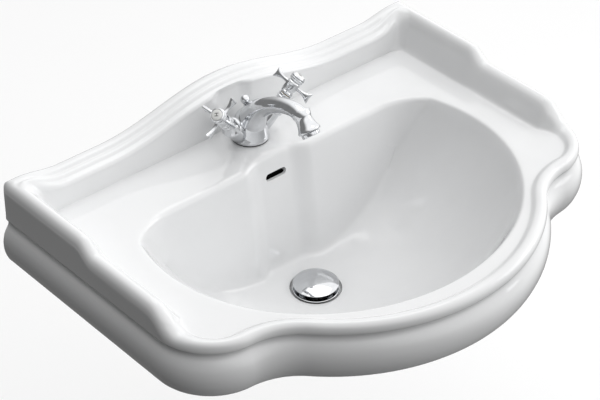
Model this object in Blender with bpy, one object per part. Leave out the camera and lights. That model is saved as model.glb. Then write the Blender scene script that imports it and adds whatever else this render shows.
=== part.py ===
"""Wall-held washbasin with a bow front, a one-hole mixer and a pop-up waste.

Metres, +Z up. The origin lies on the wall face, on the basin's centre line, level with its deck.
The wall is the plane Y = 0 and the front of the basin looks along -Y. Hot is at -X, cold at +X.
"""
import math

import bmesh
import bpy
import numpy as np
from mathutils import Matrix, Vector

GAP = 0.0003                      # clearance between touching pieces

# ---- basin ---------------------------------------------------------------------------------
WIDTH = 0.730                     # across the side mouldings
HALF = WIDTH / 2
BOW_CENTRE_Y = -0.244             # the bow front is an arc about this point
BOW_RADIUS = 0.298
EAR_CENTRE = (0.273, -0.328)      # the front corners are arcs about this point
EAR_RADIUS = 0.092
COVE_RADIUS = 0.092               # hollow curve between a front corner and the bow
BACK_FOOT = 0.040                 # depth of the back upstand at the deck
SIDE_FOOT = 0.051                 # width of a side upstand at the deck
LIP_FOOT = 0.020                  # width of the front lip at the deck
CREST_SIDE = 0.019                # crest of a side upstand, in from the moulding
CREST_LIP = 0.0105
FASCIA = 0.0075
BACK_TOP = 0.043                  # height of the back upstand at its dips
BACK_HUMP = 0.032                 # extra height of its middle
HUMP_HALF = 0.205
CORNER_RISE = 0.009
SIDE_TOP = 0.051
SIDE_STEP = 0.034                 # height of the side upstand in front of its first step
LIP_TOP = 0.0065
STEP_BACK_Y = -0.177
STEP_FRONT_Y = -0.331
STEP_LENGTH = 0.026
SKIRT_BOTTOM = -0.078
PANEL_BOTTOM = -0.145             # the back panel reaches lower, for the wall bolts
PANEL_HALF = 0.215
WALL = 0.011                      # thickness of the china
UNDER_DECK = -0.013

BOWL_CENTRE_Y = -0.240
BOWL_HALF_X = 0.2715
BOWL_HALF_Y = 0.249
BOWL_DEPTH = 0.180
BOWL_SWEEP = 3.4                  # how late the bowl's floor turns up into its wall
BOWL_BACK_Y = -0.139
BACK_WALL_RUN = 0.024             # how far the back wall leans in over the bowl's depth
FLUTE_DEPTH = 0.010
FLUTE_HALF = 0.036
PAD_HEIGHT = 0.003
PAD_RADIUS = 0.075

STATIONS = {"back": 7, "corner": 2, "ear": 6, "cove": 3, "bow": 6}
BOWL_RINGS = 12
UNDER_RINGS = 8

DRAIN_Y = -0.217
DRAIN_HOLE = 0.0230
BOSS_RADIUS = 0.040
BOSS_BOTTOM = -0.208
SEAT_BOTTOM = -0.2092             # a pedestal's top meets this ring round the boss
SEAT_INNER = 0.0345
SLOT_Z = -0.031
SLOT_WIDTH = 0.036
SLOT_HEIGHT = 0.011
BOLT_X = 0.140
BOLT_Z = -0.095
BOLT_HOLE = 0.0085

# ---- mixer ---------------------------------------------------------------------------------
TAP_Y = -0.078
TAP_HOLE = 0.0175
TAP_Z = PAD_HEIGHT + 0.0018       # the mixer stands on its base seal
VALVE_ROOT = Vector((0.0209, -0.0809, 0.0179))    # of the cold valve; the hot one is its mirror
VALVE_TIP = Vector((0.0745, -0.098, 0.083))
STUD_Y = -0.0912
TAIL_X = 0.0085
TAIL_Y = -0.0790
ROD_Y = -0.0685
ROD_RADIUS = 0.0025
KNOB_Z = 0.0605
ARM_REACH = 0.031

# ---- waste ---------------------------------------------------------------------------------
FLANGE_TOP = -0.1792
BARREL = 0.0205
BARREL_BORE = 0.0165
PIVOT_Z = -0.241
PIVOT_Y = DRAIN_Y + 0.024
BARREL_END = -0.262
TAIL_END = -0.322
PLUG_TOP = -0.1655
PLUG_RADIUS = 0.0325


# ---- scene and materials -------------------------------------------------------------------
def clear_scene():
    for item in list(bpy.data.objects):
        bpy.data.objects.remove(item)


def finish(name, colour, roughness, metallic):
    material = bpy.data.materials.new(name)
    material.use_nodes = True
    shader = material.node_tree.nodes["Principled BSDF"]
    shader.inputs["Base Color"].default_value = (*colour, 1.0)
    shader.inputs["Roughness"].default_value = roughness
    shader.inputs["Metallic"].default_value = metallic
    return material


FINISHES = {
    "china": ((0.93, 0.93, 0.92), 0.08, 0.0),
    "porcelain": ((0.95, 0.95, 0.93), 0.1, 0.0),
    "chrome": ((0.83, 0.84, 0.86), 0.06, 1.0),
    "brass": ((0.72, 0.52, 0.24), 0.3, 1.0),
    "steel": ((0.55, 0.56, 0.58), 0.35, 1.0),
    "copper": ((0.72, 0.38, 0.24), 0.3, 1.0),
    "rubber": ((0.03, 0.03, 0.03), 0.7, 0.0),
    "nylon": ((0.82, 0.82, 0.80), 0.45, 0.0),
    "alumina": ((0.86, 0.85, 0.82), 0.25, 0.0),
}


def own_material(node, kind):
    """Each sub-part has its own material, named after the node."""
    return finish(node + "_" + kind, *FINISHES[kind])


# ---- general solids ------------------------------------------------------------------------
def shade(mesh, angle=35.0):
    mesh.shade_smooth()
    mesh.set_sharp_from_angle(angle=math.radians(angle))


def add_solid(name, verts, faces, kind, parent=None, place=Matrix.Identity(4)):
    """Make a closed mesh object; place is its matrix in its parent's space."""
    mesh = bpy.data.meshes.new(name)
    mesh.from_pydata([tuple(map(float, v)) for v in verts], [], faces)
    work = bmesh.new()
    work.from_mesh(mesh)
    bmesh.ops.remove_doubles(work, verts=work.verts, dist=1e-6)
    bmesh.ops.recalc_face_normals(work, faces=work.faces)
    work.to_mesh(mesh)
    work.free()
    shade(mesh)
    solid = bpy.data.objects.new(name, mesh)
    bpy.context.collection.objects.link(solid)
    if kind:
        mesh.materials.append(own_material(name, kind))
    if parent:
        solid.parent = parent
    solid.matrix_local = place
    return solid


def add_empty(name, place):
    empty = bpy.data.objects.new(name, None)
    bpy.context.collection.objects.link(empty)
    empty.matrix_world = place
    return empty


def grid_faces(rings, around, closed_rings):
    """Quads between successive rings of points, and from the last to the first if closed_rings."""
    faces = []
    for ring in range(rings if closed_rings else rings - 1):
        low, high = ring * around, ((ring + 1) % rings) * around
        for k in range(around):
            nxt = (k + 1) % around
            faces.append((low + k, low + nxt, high + nxt, high + k))
    return faces


def turned(name, profile, kind, segments=24, parent=None, place=Matrix.Identity(4)):
    """Turn (radius, z) points about Z. Ends at radius 0 are poles; otherwise the profile closes."""
    pole = profile[0][0] == 0.0
    body = profile[1:-1] if pole else profile
    angles = np.linspace(0, 2 * math.pi, segments, endpoint=False)
    verts = [(r * math.cos(a), r * math.sin(a), z) for r, z in body for a in angles]
    faces = grid_faces(len(body), segments, not pole)
    if pole:
        for tip, start in ((profile[0], 0), (profile[-1], (len(body) - 1) * segments)):
            verts.append((0.0, 0.0, tip[1]))
            hub = len(verts) - 1
            faces += [(hub, start + k, start + (k + 1) % segments) for k in range(segments)]
    return add_solid(name, verts, faces, kind, parent, place)


def ring_solid(name, inner, outer, z0, z1, kind, segments=24, parent=None,
               place=Matrix.Identity(4)):
    profile = [(inner, z0), (outer, z0), (outer, z1), (inner, z1)]
    return turned(name, profile, kind, segments, parent, place)


def rod_solid(name, radius, z0, z1, kind, segments=16, parent=None, place=Matrix.Identity(4)):
    return turned(name, [(0.0, z0), (radius, z0), (radius, z1), (0.0, z1)], kind, segments,
                  parent, place)


def prism(name, outline, z0, z1, kind, parent=None, place=Matrix.Identity(4)):
    """Extrude a plan outline from z0 to z1."""
    count = len(outline)
    verts = [(x, y, z) for z in (z0, z1) for x, y in outline]
    faces = [tuple(range(count)), tuple(range(count, 2 * count))]
    faces += [(k, (k + 1) % count, (k + 1) % count + count, k + count) for k in range(count)]
    return add_solid(name, verts, faces, kind, parent, place)


def swept(name, path, radii, kind, segments=16, parent=None, side=Vector((1, 0, 0)), end=None):
    """A solid of round sections along a path in a plane whose normal is side.

    end is the direction that the last section faces, where it isn't the path's own.
    """
    path = [Vector([float(v) for v in p]) for p in path]
    verts, faces = [], []
    for k, point in enumerate(path):
        along = (path[min(k + 1, len(path) - 1)] - path[max(k - 1, 0)]).normalized()
        if end and k == len(path) - 1:
            along = end
        lift = side.cross(along).normalized()
        for a in np.linspace(0, 2 * math.pi, segments, endpoint=False):
            verts.append(point + float(radii[k]) * (math.cos(a) * side + math.sin(a) * lift))
    faces = grid_faces(len(path), segments, False)
    faces += [tuple(range(segments)), tuple(range((len(path) - 1) * segments, len(verts)))]
    return add_solid(name, verts, faces, kind, parent)


def smooth_path(points, count):
    """Catmull-Rom curve through hand-placed points, read at count even steps."""
    points = np.array(points, float)
    ends = np.vstack([2 * points[0] - points[1], points, 2 * points[-1] - points[-2]])
    steps = np.linspace(0, len(points) - 1 - 1e-9, count)
    cell = steps.astype(int)
    t = (steps - cell)[:, None]
    a, b, c, d = (ends[cell + k] for k in range(4))
    return 0.5 * (2 * b + (c - a) * t + (2 * a - 5 * b + 4 * c - d) * t ** 2
                  + (3 * b - a - 3 * c + d) * t ** 3)


def combine(target, tools, operation):
    """Boolean modifiers in turn; each tool becomes a hidden wire guide."""
    for tool in tools:
        step = target.modifiers.new(tool.name, "BOOLEAN")
        step.operation = operation
        step.object = tool
        tool.hide_render = True
        tool.display_type = "WIRE"


def polygon(radius, sides, turn=0.0):
    return [(radius * math.cos(turn + 2 * math.pi * k / sides),
             radius * math.sin(turn + 2 * math.pi * k / sides)) for k in range(sides)]


# ---- basin ---------------------------------------------------------------------------------
def smoothstep(x, low, high):
    t = np.clip((x - low) / (high - low), 0.0, 1.0)
    return t * t * (3 - 2 * t)


def mix(a, b, t):
    return a + (b - a) * t


def arc(centre, radius, start, end, count):
    """count points along an arc, without its end."""
    a = np.linspace(start, end, count + 1)[:-1]
    return np.stack([centre[0] + radius * np.cos(a), centre[1] + radius * np.sin(a)], -1)


def tangent_centre(a, reach_a, b, reach_b):
    """The point at reach_a from a and reach_b from b, on the front side of the line a-b."""
    span = np.linalg.norm(b - a)
    unit = (b - a) / span
    along = (reach_a ** 2 - reach_b ** 2 + span ** 2) / (2 * span)
    out = math.sqrt(reach_a ** 2 - along ** 2)
    return a + along * unit + out * np.array([unit[1], -unit[0]])


def bearing(centre, point):
    return math.atan2(point[1] - centre[1], point[0] - centre[0])


def side_stops(top, bottom):
    """Y of the stations along a side, closer together at the step of its top."""
    before = np.linspace(top, STEP_BACK_Y + STEP_LENGTH / 2, 3)
    across = np.linspace(STEP_BACK_Y + STEP_LENGTH / 2, STEP_BACK_Y - STEP_LENGTH / 2, 5)
    after = np.linspace(STEP_BACK_Y - STEP_LENGTH / 2, bottom, 4)
    return np.concatenate([before[:-1], across[:-1], after[:-1]])


def outline(back, side, front, corner, ear_shift=0.0):
    """One closed plan outline, from the middle of the back round by +X.

    back, side and front say how far it lies in from the wall, the side moulding and the front
    moulding, corner is its radius at the back corners, and ear_shift draws the centre of its
    front corners outward, as the inner lines of the lip do.
    """
    x_side = HALF - side
    ear_centre = np.array(EAR_CENTRE) + ear_shift * np.array([0.012, -0.022])
    ear = EAR_RADIUS - front - 0.022 * ear_shift
    bow, cove = BOW_RADIUS - front, COVE_RADIUS + front
    bow_centre = np.array([0.0, BOW_CENTRE_Y])
    hollow = tangent_centre(bow_centre, bow + cove, ear_centre, ear + cove)
    first = math.acos(min((x_side - ear_centre[0]) / ear, 1.0))
    to_ear, to_bow = bearing(ear_centre, hollow), bearing(bow_centre, hollow)
    xs = (x_side - corner) * np.linspace(0, 1, STATIONS["back"] + 1)[:-1] ** 0.9
    ys = side_stops(-back - corner, ear_centre[1] + ear * math.sin(first))
    turn = np.linspace(0, 1, STATIONS["ear"] + 1)[:-1] ** 1.25
    ear_angles = first + (to_ear - first) * turn
    half = np.vstack([
        np.stack([xs, np.full_like(xs, -back)], -1),
        arc((x_side - corner, -back - corner), corner, math.pi / 2, 0, STATIONS["corner"]),
        np.stack([np.full_like(ys, x_side), ys], -1),
        ear_centre + ear * np.stack([np.cos(ear_angles), np.sin(ear_angles)], -1),
        arc(hollow, cove, to_ear + math.pi, to_bow + math.pi, STATIONS["cove"]),
        arc(bow_centre, bow, to_bow, -math.pi / 2, STATIONS["bow"]),
        [[0.0, BOW_CENTRE_Y - bow]],
    ])
    return np.vstack([half, half[1:-1][::-1] * [-1.0, 1.0]])


def back_share(count):
    """1 at the stations along the back, 0 from the side onward, fading round the corner."""
    half = count // 2 + 1
    share = np.zeros(half)
    share[:STATIONS["back"]] = 1.0
    fade = STATIONS["corner"] + 1
    share[STATIONS["back"]:STATIONS["back"] + fade] = np.linspace(1, 0, fade)
    return np.concatenate([share, share[1:-1][::-1]])


def crest_height(plan, share):
    """Height of the upstand's crest: a hump behind the mixer, two steps down along the sides."""
    x, y = np.abs(plan[:, 0]), plan[:, 1]
    hump = BACK_HUMP * np.cos(np.clip(x / HUMP_HALF, 0, 1) * math.pi / 2) ** 2
    back = BACK_TOP + hump + CORNER_RISE * smoothstep(x, 0.27, 0.335)
    half_step = STEP_LENGTH / 2
    side = mix(SIDE_TOP, SIDE_STEP, smoothstep(-y, -STEP_BACK_Y - half_step, -STEP_BACK_Y + half_step))
    side = mix(side, LIP_TOP, smoothstep(-y, -STEP_FRONT_Y - half_step, -STEP_FRONT_Y + half_step))
    return mix(side, back, share)


def bowl_hollow(x, y, grow=0.0, rib=0.0):
    """Depth of the bowl below the deck: a dished ellipse cut off by a steep, fluted back wall.

    grow swells it all round by the thickness of the china, and rib adds the duct behind it.
    """
    radius = np.hypot(x / (BOWL_HALF_X + grow), (y - BOWL_CENTRE_Y) / (BOWL_HALF_Y + grow))
    dish = 0.5 + 0.5 * np.cos(math.pi * np.clip(radius, 0, 1) ** BOWL_SWEEP)
    flute = FLUTE_DEPTH * (1 - smoothstep(np.abs(x), 0.45 * FLUTE_HALF, FLUTE_HALF))
    edge = BOWL_BACK_Y + flute + grow + rib * (1 - smoothstep(np.abs(x), 0.024, 0.036))
    wall = np.clip((edge - y) / BACK_WALL_RUN, 0, 1)
    return BOWL_DEPTH * dish * wall


def deck_top(x, y):
    pad = PAD_HEIGHT * (1 - smoothstep(np.hypot(x, y - TAP_Y), 0.6 * PAD_RADIUS, PAD_RADIUS))
    return pad - bowl_hollow(x, y)


def bowl_under(x, y):
    """Underside of the deck and bowl, thicker in a strip that holds the overflow duct."""
    strip = (1 - smoothstep(np.abs(x), 0.024, 0.036)) * smoothstep(y, DRAIN_Y - 0.01, DRAIN_Y + 0.02)
    return UNDER_DECK - (1 + 0.06 * strip) * bowl_hollow(x, y, WALL, 0.009)


def lay_rings(start, end, height, count):
    """Rings between two plan rings on the surface height(x, y), evenly spaced along the surface."""
    fine = np.linspace(0, 1, 300)
    rings = np.empty((count, len(start), 3))
    for k, (a, b) in enumerate(zip(start, end)):
        x, y = mix(a[0], b[0], fine), mix(a[1], b[1], fine)
        z = height(x, y)
        length = np.concatenate([[0], np.cumsum(np.sqrt(np.diff(x) ** 2 + np.diff(y) ** 2
                                                        + np.diff(z) ** 2))])
        stops = np.linspace(0, length[-1], count)
        rings[:, k] = np.stack([np.interp(stops, length, v) for v in (x, y, z)], -1)
    return list(rings)


def level_ring(plan, z):
    return np.column_stack([plan, np.broadcast_to(z, len(plan))])


def round_ring(guide, radius):
    """A circle about the drain whose points lie in the directions of the guide's points."""
    turn = np.arctan2(guide[:, 1] - BOWL_CENTRE_Y, guide[:, 0])
    return np.stack([radius * np.cos(turn), DRAIN_Y + radius * np.sin(turn)], -1)


# Upstand rows: share of the way from foot to crest on the sides, depth from the wall at the
# back, share of the crest height on the sides, and drop below the crest at the back.
UPSTAND_ROWS = (
    (0.30, 0.0350, 0.38, 0.0170), (0.50, 0.0375, 0.66, 0.0135), (0.68, 0.0325, 0.84, 0.0085),
    (0.82, 0.0275, 0.94, 0.0095), (0.92, 0.0240, 0.985, 0.0045), (1.00, 0.0175, 1.00, 0.0055),
)
# Rows over the crest: share of the way from crest to fascia, depth from the wall, and drops.
CREST_ROWS = ((0.40, 0.0130, 0.0008, 0.0005), (0.75, 0.0055, 0.0035, 0.0), (1.0, 0.0, 0.0080, 0.0040))
# Mouldings below: distance in from the widest line, and height.
MOULDING_ROWS = (
    (0.0080, -0.0065), (0.0112, -0.0130), (0.0085, -0.0195), (0.0030, -0.0290), (0.0, -0.0440),
    (0.0012, -0.0590), (0.0050, -0.0710), (0.0095, -0.0780),
)


def basin_rings():
    """All rings of the basin's skin: up the bowl, over the rim, down outside and back beneath."""
    foot = outline(BACK_FOOT, SIDE_FOOT, LIP_FOOT, 0.016, 1.0)
    crest = outline(0.0175, CREST_SIDE, CREST_LIP, 0.010, 0.5)
    share = back_share(len(foot))
    top = crest_height(crest, share)
    panel = PANEL_BOTTOM - SKIRT_BOTTOM
    rings = [level_ring(round_ring(foot, DRAIN_HOLE), -BOWL_DEPTH - 0.0050),
             level_ring(round_ring(foot, 0.0345), -BOWL_DEPTH - 0.0048)]
    rings += lay_rings(round_ring(foot, 0.0365), foot, deck_top, BOWL_RINGS)
    for along, back, rise, drop in UPSTAND_ROWS:
        plan = outline(back, mix(SIDE_FOOT, CREST_SIDE, along), mix(LIP_FOOT, CREST_LIP, along),
                       mix(0.016, 0.010, along), mix(1.0, 0.5, along))
        rings.append(level_ring(plan, mix(top * rise, top - drop, share)))
    for along, back, side_drop, back_drop in CREST_ROWS:
        plan = outline(back, mix(CREST_SIDE, FASCIA, along), mix(CREST_LIP, FASCIA, along),
                       mix(0.010, 0.004, along), mix(0.5, 0.0, along))
        rings.append(level_ring(plan, top - mix(side_drop, back_drop, share)))
    for inset, height in MOULDING_ROWS:
        rings.append(level_ring(outline(0.0, inset, inset, 0.004), height))
    skirt = outline(0.0, 0.0095, 0.0095, 0.004)
    low = panel * share * (1 - smoothstep(np.abs(skirt[:, 0]), PANEL_HALF, PANEL_HALF + 0.05))
    rings[-1][:, 2] += low
    inner = outline(0.012, 0.0205, 0.0205, 0.004)
    rings.append(level_ring(outline(0.011, 0.0195, 0.0195, 0.004), SKIRT_BOTTOM + low))
    rings.append(level_ring(inner, mix(0.35 * top, top - 0.020, share) - 0.010 * (1 - share)))
    rings.append(level_ring(outline(0.023, 0.029, 0.0225, 0.004),
                            rings[-1][:, 2] - 0.001))
    rings.append(level_ring(outline(0.046, 0.055, 0.030, 0.010, 0.6), UNDER_DECK))
    vault = outline(0.106, 0.078, 0.036, 0.030, 0.8)
    rings += lay_rings(vault, round_ring(vault, BOSS_RADIUS), bowl_under, UNDER_RINGS)
    rings.append(level_ring(round_ring(vault, BOSS_RADIUS - 0.0005), SEAT_BOTTOM))
    rings.append(level_ring(round_ring(vault, SEAT_INNER), SEAT_BOTTOM))
    rings.append(level_ring(round_ring(vault, SEAT_INNER - 0.0005), BOSS_BOTTOM))
    rings.append(level_ring(round_ring(vault, DRAIN_HOLE), BOSS_BOTTOM))
    return rings


def duct_guide():
    """The overflow duct: a flat passage behind the bowl's back wall, down and into the drain."""
    lean = BACK_WALL_RUN / BOWL_DEPTH
    flute_back = BOWL_BACK_Y + FLUTE_DEPTH

    def wall_y(z, behind):
        return flute_back + lean * z + behind

    top, low = SLOT_Z + 0.011, -BOWL_DEPTH - 0.0045
    side = [(wall_y(top, 0.0065), top), (wall_y(top, 0.0125), top),
            (wall_y(low, 0.0135), low - 0.0075), (DRAIN_Y + 0.019, low - 0.0105),
            (DRAIN_Y + 0.019, low), (wall_y(low, 0.0065), low)]
    place = Matrix(((0, 0, 1, 0), (1, 0, 0, 0), (0, 1, 0, 0), (0, 0, 0, 1)))
    return prism("duct_guide", side, -0.016, 0.016, None, None, place)


def slot_guide():
    """The overflow's mouth: a rounded slot through the bowl's back wall."""
    r, half = SLOT_HEIGHT / 2, SLOT_WIDTH / 2 - SLOT_HEIGHT / 2
    outline_xz = [(half + r * math.cos(a), r * math.sin(a)) for a in np.linspace(-1.57, 1.57, 7)]
    outline_xz += [(-half - r * math.cos(a), -r * math.sin(a)) for a in np.linspace(-1.57, 1.57, 7)]
    place = Matrix(((1, 0, 0, 0), (0, 0, -1, 0), (0, 1, 0, SLOT_Z), (0, 0, 0, 1)))
    return prism("slot_guide", outline_xz, 0.1235, 0.152, None, None, place)


def build_basin():
    rings = basin_rings()
    around = len(rings[0])
    basin = add_solid("basin", np.vstack(rings), grid_faces(len(rings), around, True), "china")
    along_y = Matrix.Rotation(math.pi / 2, 4, "X")
    cutters = [
        rod_solid("tap_hole_guide", TAP_HOLE, -0.03, 0.02, None, 24, None,
                  Matrix.Translation((0, TAP_Y, 0))),
        slot_guide(), duct_guide(),
    ]
    for side in (-1, 1):
        cutters.append(rod_solid(f"bolt_hole_guide_{side}", BOLT_HOLE, -0.01, 0.03, None, 16, None,
                                 Matrix.Translation((side * BOLT_X, 0, BOLT_Z)) @ along_y))
    combine(basin, cutters, "DIFFERENCE")


# ---- mixer ---------------------------------------------------------------------------------
# Middle line of the spout, (y, z), from inside the body to its outlet end, and its radii.
SPOUT_LINE = ((-0.0830, 0.0280), (-0.0890, 0.0460), (-0.1040, 0.0635), (-0.1230, 0.0780),
              (-0.1460, 0.0893), (-0.1690, 0.0952), (-0.1868, 0.0945))
SPOUT_RADII = (0.0185, 0.0168, 0.0132, 0.0116, 0.0108, 0.0108, 0.0112)
OUTLET = Vector((0.0, -0.1868, 0.0945))
OUTLET_AXIS = Vector((0.0, -0.66, -0.75)).normalized()


def frame_along(origin, axis, hint=Vector((0, 0, 1))):
    """A matrix whose Z is axis and whose X is square to hint."""
    z = axis.normalized()
    x = hint.cross(z).normalized()
    matrix = Matrix((x, z.cross(x), z)).transposed().to_4x4()
    matrix.translation = origin
    return matrix


def build_spout_parts():
    """The casting and what hangs on its outlet and base."""
    base = Matrix.Translation((0, TAP_Y, 0))
    z0 = TAP_Z
    body = turned("tap_body", [
        (0.0, z0), (0.0265, z0), (0.0270, z0 + 0.0025), (0.0262, z0 + 0.0080), (0.0246, z0 + 0.0150),
        (0.0234, z0 + 0.0220), (0.0222, z0 + 0.0290), (0.0200, z0 + 0.0355), (0.0150, z0 + 0.0405),
        (0.0080, z0 + 0.0430), (0.0, z0 + 0.0440)], "chrome", 22, None, base)
    steps = 11
    line = smooth_path(SPOUT_LINE, steps)
    radii = np.interp(np.linspace(0, 1, steps), np.linspace(0, 1, len(SPOUT_RADII)), SPOUT_RADII)
    spout = swept("spout_guide", [(0, y, z) for y, z in line], radii, None, 16, end=OUTLET_AXIS)
    arms, pockets, inlets = [], [], []
    for side in (-1, 1):
        place = valve_frame(side)
        arms.append(turned(f"arm_guide_{side}", [
            (0.0, -0.004), (0.0115, -0.004), (0.0115, 0.0225), (0.0130, 0.0245), (0.0130, 0.0295),
            (0.0, 0.0295)], None, 18, None, place))
        pockets.append(rod_solid(f"pocket_guide_{side}", 0.0093, 0.0130, 0.032, None, 16, None,
                                 place @ Matrix.Rotation(0.11, 4, "Z")))
        inlets.append(rod_solid(f"inlet_guide_{side}", 0.0053, -0.01, z0 + 0.012, None, 12, None,
                                Matrix.Translation((side * TAIL_X, TAIL_Y, 0))))
        riser = [Vector((side * TAIL_X, TAIL_Y, z0 + 0.008)), place @ Vector((0, -0.0055, 0.0140))]
        inlets.append(swept(f"riser_guide_{side}", riser, (0.0026, 0.0026), None, 9, None,
                            Vector((0, 1, 0))))
    outflow = OUTLET + 0.006 * OUTLET_AXIS
    way = np.vstack([[(-0.088, 0.0270)], smooth_path(SPOUT_LINE[2:], 9)[:-1],
                     [(outflow.y, outflow.z)]])
    waterway = swept("waterway_guide", [(0, y, z) for y, z in way], [0.0050] * 6 + [0.0062] * 4,
                     None, 11)
    mixing = swept("mixing_guide", [valve_frame(-1) @ Vector((0, 0, 0.0140)),
                                    Vector((0, -0.0880, 0.0270)),
                                    valve_frame(1) @ Vector((0, 0, 0.0140))], (0.0028,) * 3, None,
                   11, None, Vector((0, 1, 0)))
    rod_way = rod_solid("rod_way_guide", 0.0034, -0.01, 0.06, None, 12, None,
                        Matrix.Translation((0, ROD_Y, 0)))
    stud_way = rod_solid("stud_way_guide", 0.0040, -0.01, z0 + 0.012, None, 12, None,
                         Matrix.Translation((0, STUD_Y, 0)))
    combine(body, [spout] + arms, "UNION")
    combine(body, pockets + inlets + [waterway, mixing, rod_way, stud_way], "DIFFERENCE")

    outlet = frame_along(OUTLET, OUTLET_AXIS)
    turned("spout_nozzle", [
        (0.0080, 0.0006), (0.0112, 0.0006), (0.0121, 0.0030), (0.0119, 0.0075), (0.0124, 0.0130),
        (0.0138, 0.0185), (0.0158, 0.0225), (0.0160, 0.0240), (0.0150, 0.0252), (0.0108, 0.0252),
        (0.0100, 0.0200), (0.0080, 0.0140)], "chrome", 16, None, outlet)
    turned("aerator_housing", [
        (0.0094, 0.0255), (0.0128, 0.0255), (0.0132, 0.0275), (0.0126, 0.0310), (0.0094, 0.0310)],
        "chrome", 16, None, outlet)
    ring_solid("aerator_washer", 0.0055, 0.0090, 0.0212, 0.0228, "rubber", 16, None, outlet)
    rod_solid("aerator_insert", 0.0090, 0.0232, 0.0300, "nylon", 16, None, outlet)

    ring_solid("base_seal", 0.0195, 0.0255, PAD_HEIGHT + GAP, TAP_Z - GAP, "rubber", 20, None, base)
    under = UNDER_DECK
    for name, kind, top, thick in (("rubber_clamp_washer", "rubber", under - GAP, 0.0025),
                                   ("steel_clamp_washer", "steel", under - 0.0031, 0.0020)):
        horseshoe(name, kind, top - thick, top)
    rod_solid("mounting_stud", 0.0037, -0.060, z0 + 0.0115, "brass", 16, None,
              Matrix.Translation((0, STUD_Y, 0)))
    nut_at = Matrix.Translation((0, STUD_Y, 0))
    nut = prism("stud_nut", polygon(0.0072, 6), under - 0.0128, under - 0.0056, "brass", None, nut_at)
    combine(nut, [rod_solid("stud_nut_guide", 0.0040, -0.04, 0.0, None, 16, None, nut_at)],
            "DIFFERENCE")


def horseshoe(name, kind, low, high):
    """A clamp washer: a C round the supply tails and the rod, with its own hole for the stud."""
    outer, end_y = 0.0245, 0.012
    end = math.asin(end_y / outer)
    plan = [(outer * math.cos(a), outer * math.sin(a))
            for a in np.linspace(math.pi - end, 2 * math.pi + end, 14)]
    slot = [(0.0145, end_y), (0.0145, -0.0010), (0.0115, -0.0065)]
    plan += slot + [(-x, y) for x, y in slot[::-1]]
    place = Matrix.Translation((0, TAP_Y, 0))
    washer = prism(name, plan, low, high, kind, None, place)
    hole = rod_solid(name + "_guide", 0.0041, -0.03, 0.0, None, 16, None,
                     Matrix.Translation((0, STUD_Y, 0)))
    combine(washer, [hole], "DIFFERENCE")


def valve_frame(side):
    """Frame of one valve: its Z runs from the mixer's middle out to the handle's cap."""
    root, tip = Vector(VALVE_ROOT), Vector(VALVE_TIP)
    root.x *= side
    tip.x *= side
    return frame_along(root, tip - root)


VALVE_LENGTH = (VALVE_TIP - VALVE_ROOT).length


def disc_with_ports(name, radius, low, high, turn, parent):
    disc = rod_solid(name, radius, low, high, "alumina", 16, parent)
    ports = []
    for k in range(2):
        a = turn + k * math.pi
        at = Matrix.Translation((0.0045 * math.cos(a), 0.0045 * math.sin(a), 0))
        ports.append(rod_solid(f"{name}_guide_{k}", 0.0022, low - 0.001, high + 0.001, None, 8,
                               parent, at))
    combine(disc, ports, "DIFFERENCE")


def build_valve(hand, side):
    """One quarter-turn valve with its bonnet, discs, spindle and cross handle."""
    axis = add_empty(f"{hand}_valve_axis", valve_frame(side))
    ring_solid(f"{hand}_seat_seal", 0.0030, 0.0086, 0.0133, 0.0144, "rubber", 12, axis)
    disc_with_ports(f"{hand}_fixed_disc", 0.0088, 0.0147, 0.0175, 0.0, axis)
    disc_with_ports(f"{hand}_moving_disc", 0.0086, 0.0178, 0.0204, math.pi / 2, axis)
    turned(f"{hand}_spindle", [(0.0, 0.0207), (0.0070, 0.0207), (0.0070, 0.0235), (0.0030, 0.0240),
                               (0.0030, 0.0700), (0.0, 0.0700)], "brass", 12, axis)
    turned(f"{hand}_headwork", [
        (0.0080, 0.0207), (0.0090, 0.0207), (0.0090, 0.0300), (0.0124, 0.0300), (0.0124, 0.0320),
        (0.0072, 0.0335), (0.0068, 0.0530), (0.0033, 0.0530), (0.0033, 0.0260), (0.0080, 0.0260)],
        "brass", 16, axis)
    turned(f"{hand}_bonnet", [
        (0.0128, 0.0300), (0.0140, 0.0300), (0.0142, 0.0325), (0.0122, 0.0350), (0.0098, 0.0400),
        (0.0088, 0.0450), (0.0098, 0.0475), (0.0098, 0.0500), (0.0078, 0.0510), (0.0076, 0.0400),
        (0.0100, 0.0345), (0.0128, 0.0323)], "chrome", 16, axis)
    turned_hub = turned(f"{hand}_handle", [
        (0.0033, 0.0534), (0.0074, 0.0534), (0.0092, 0.0560), (0.0092, 0.0580), (0.0078, 0.0600),
        (0.0088, 0.0630), (0.0088, 0.0735), (0.0100, 0.0752), (0.0112, 0.0775), (0.0112, 0.0800),
        (0.0092, 0.0810), (0.0033, 0.0745)], "chrome", 16, axis)
    turn = math.radians(0 if side < 0 else 38)
    arms = [handle_arm(f"{hand}_arm_guide_{k}", axis, turn + k * math.pi / 2) for k in range(4)]
    combine(turned_hub, arms, "UNION")
    turned(f"{hand}_handle_screw", [(0.0, 0.0705), (0.0030, 0.0705), (0.0030, 0.0752),
                                    (0.0052, 0.0772), (0.0052, 0.0790), (0.0, 0.0790)],
           "steel", 12, axis)
    tip = VALVE_LENGTH
    turned(f"{hand}_index_cap", [(0.0, 0.0813), (0.0086, 0.0813), (0.0090, 0.0825),
                                 (0.0086, tip - 0.0012), (0.0060, tip - 0.0002), (0.0, tip)],
           "porcelain", 16, axis)


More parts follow.
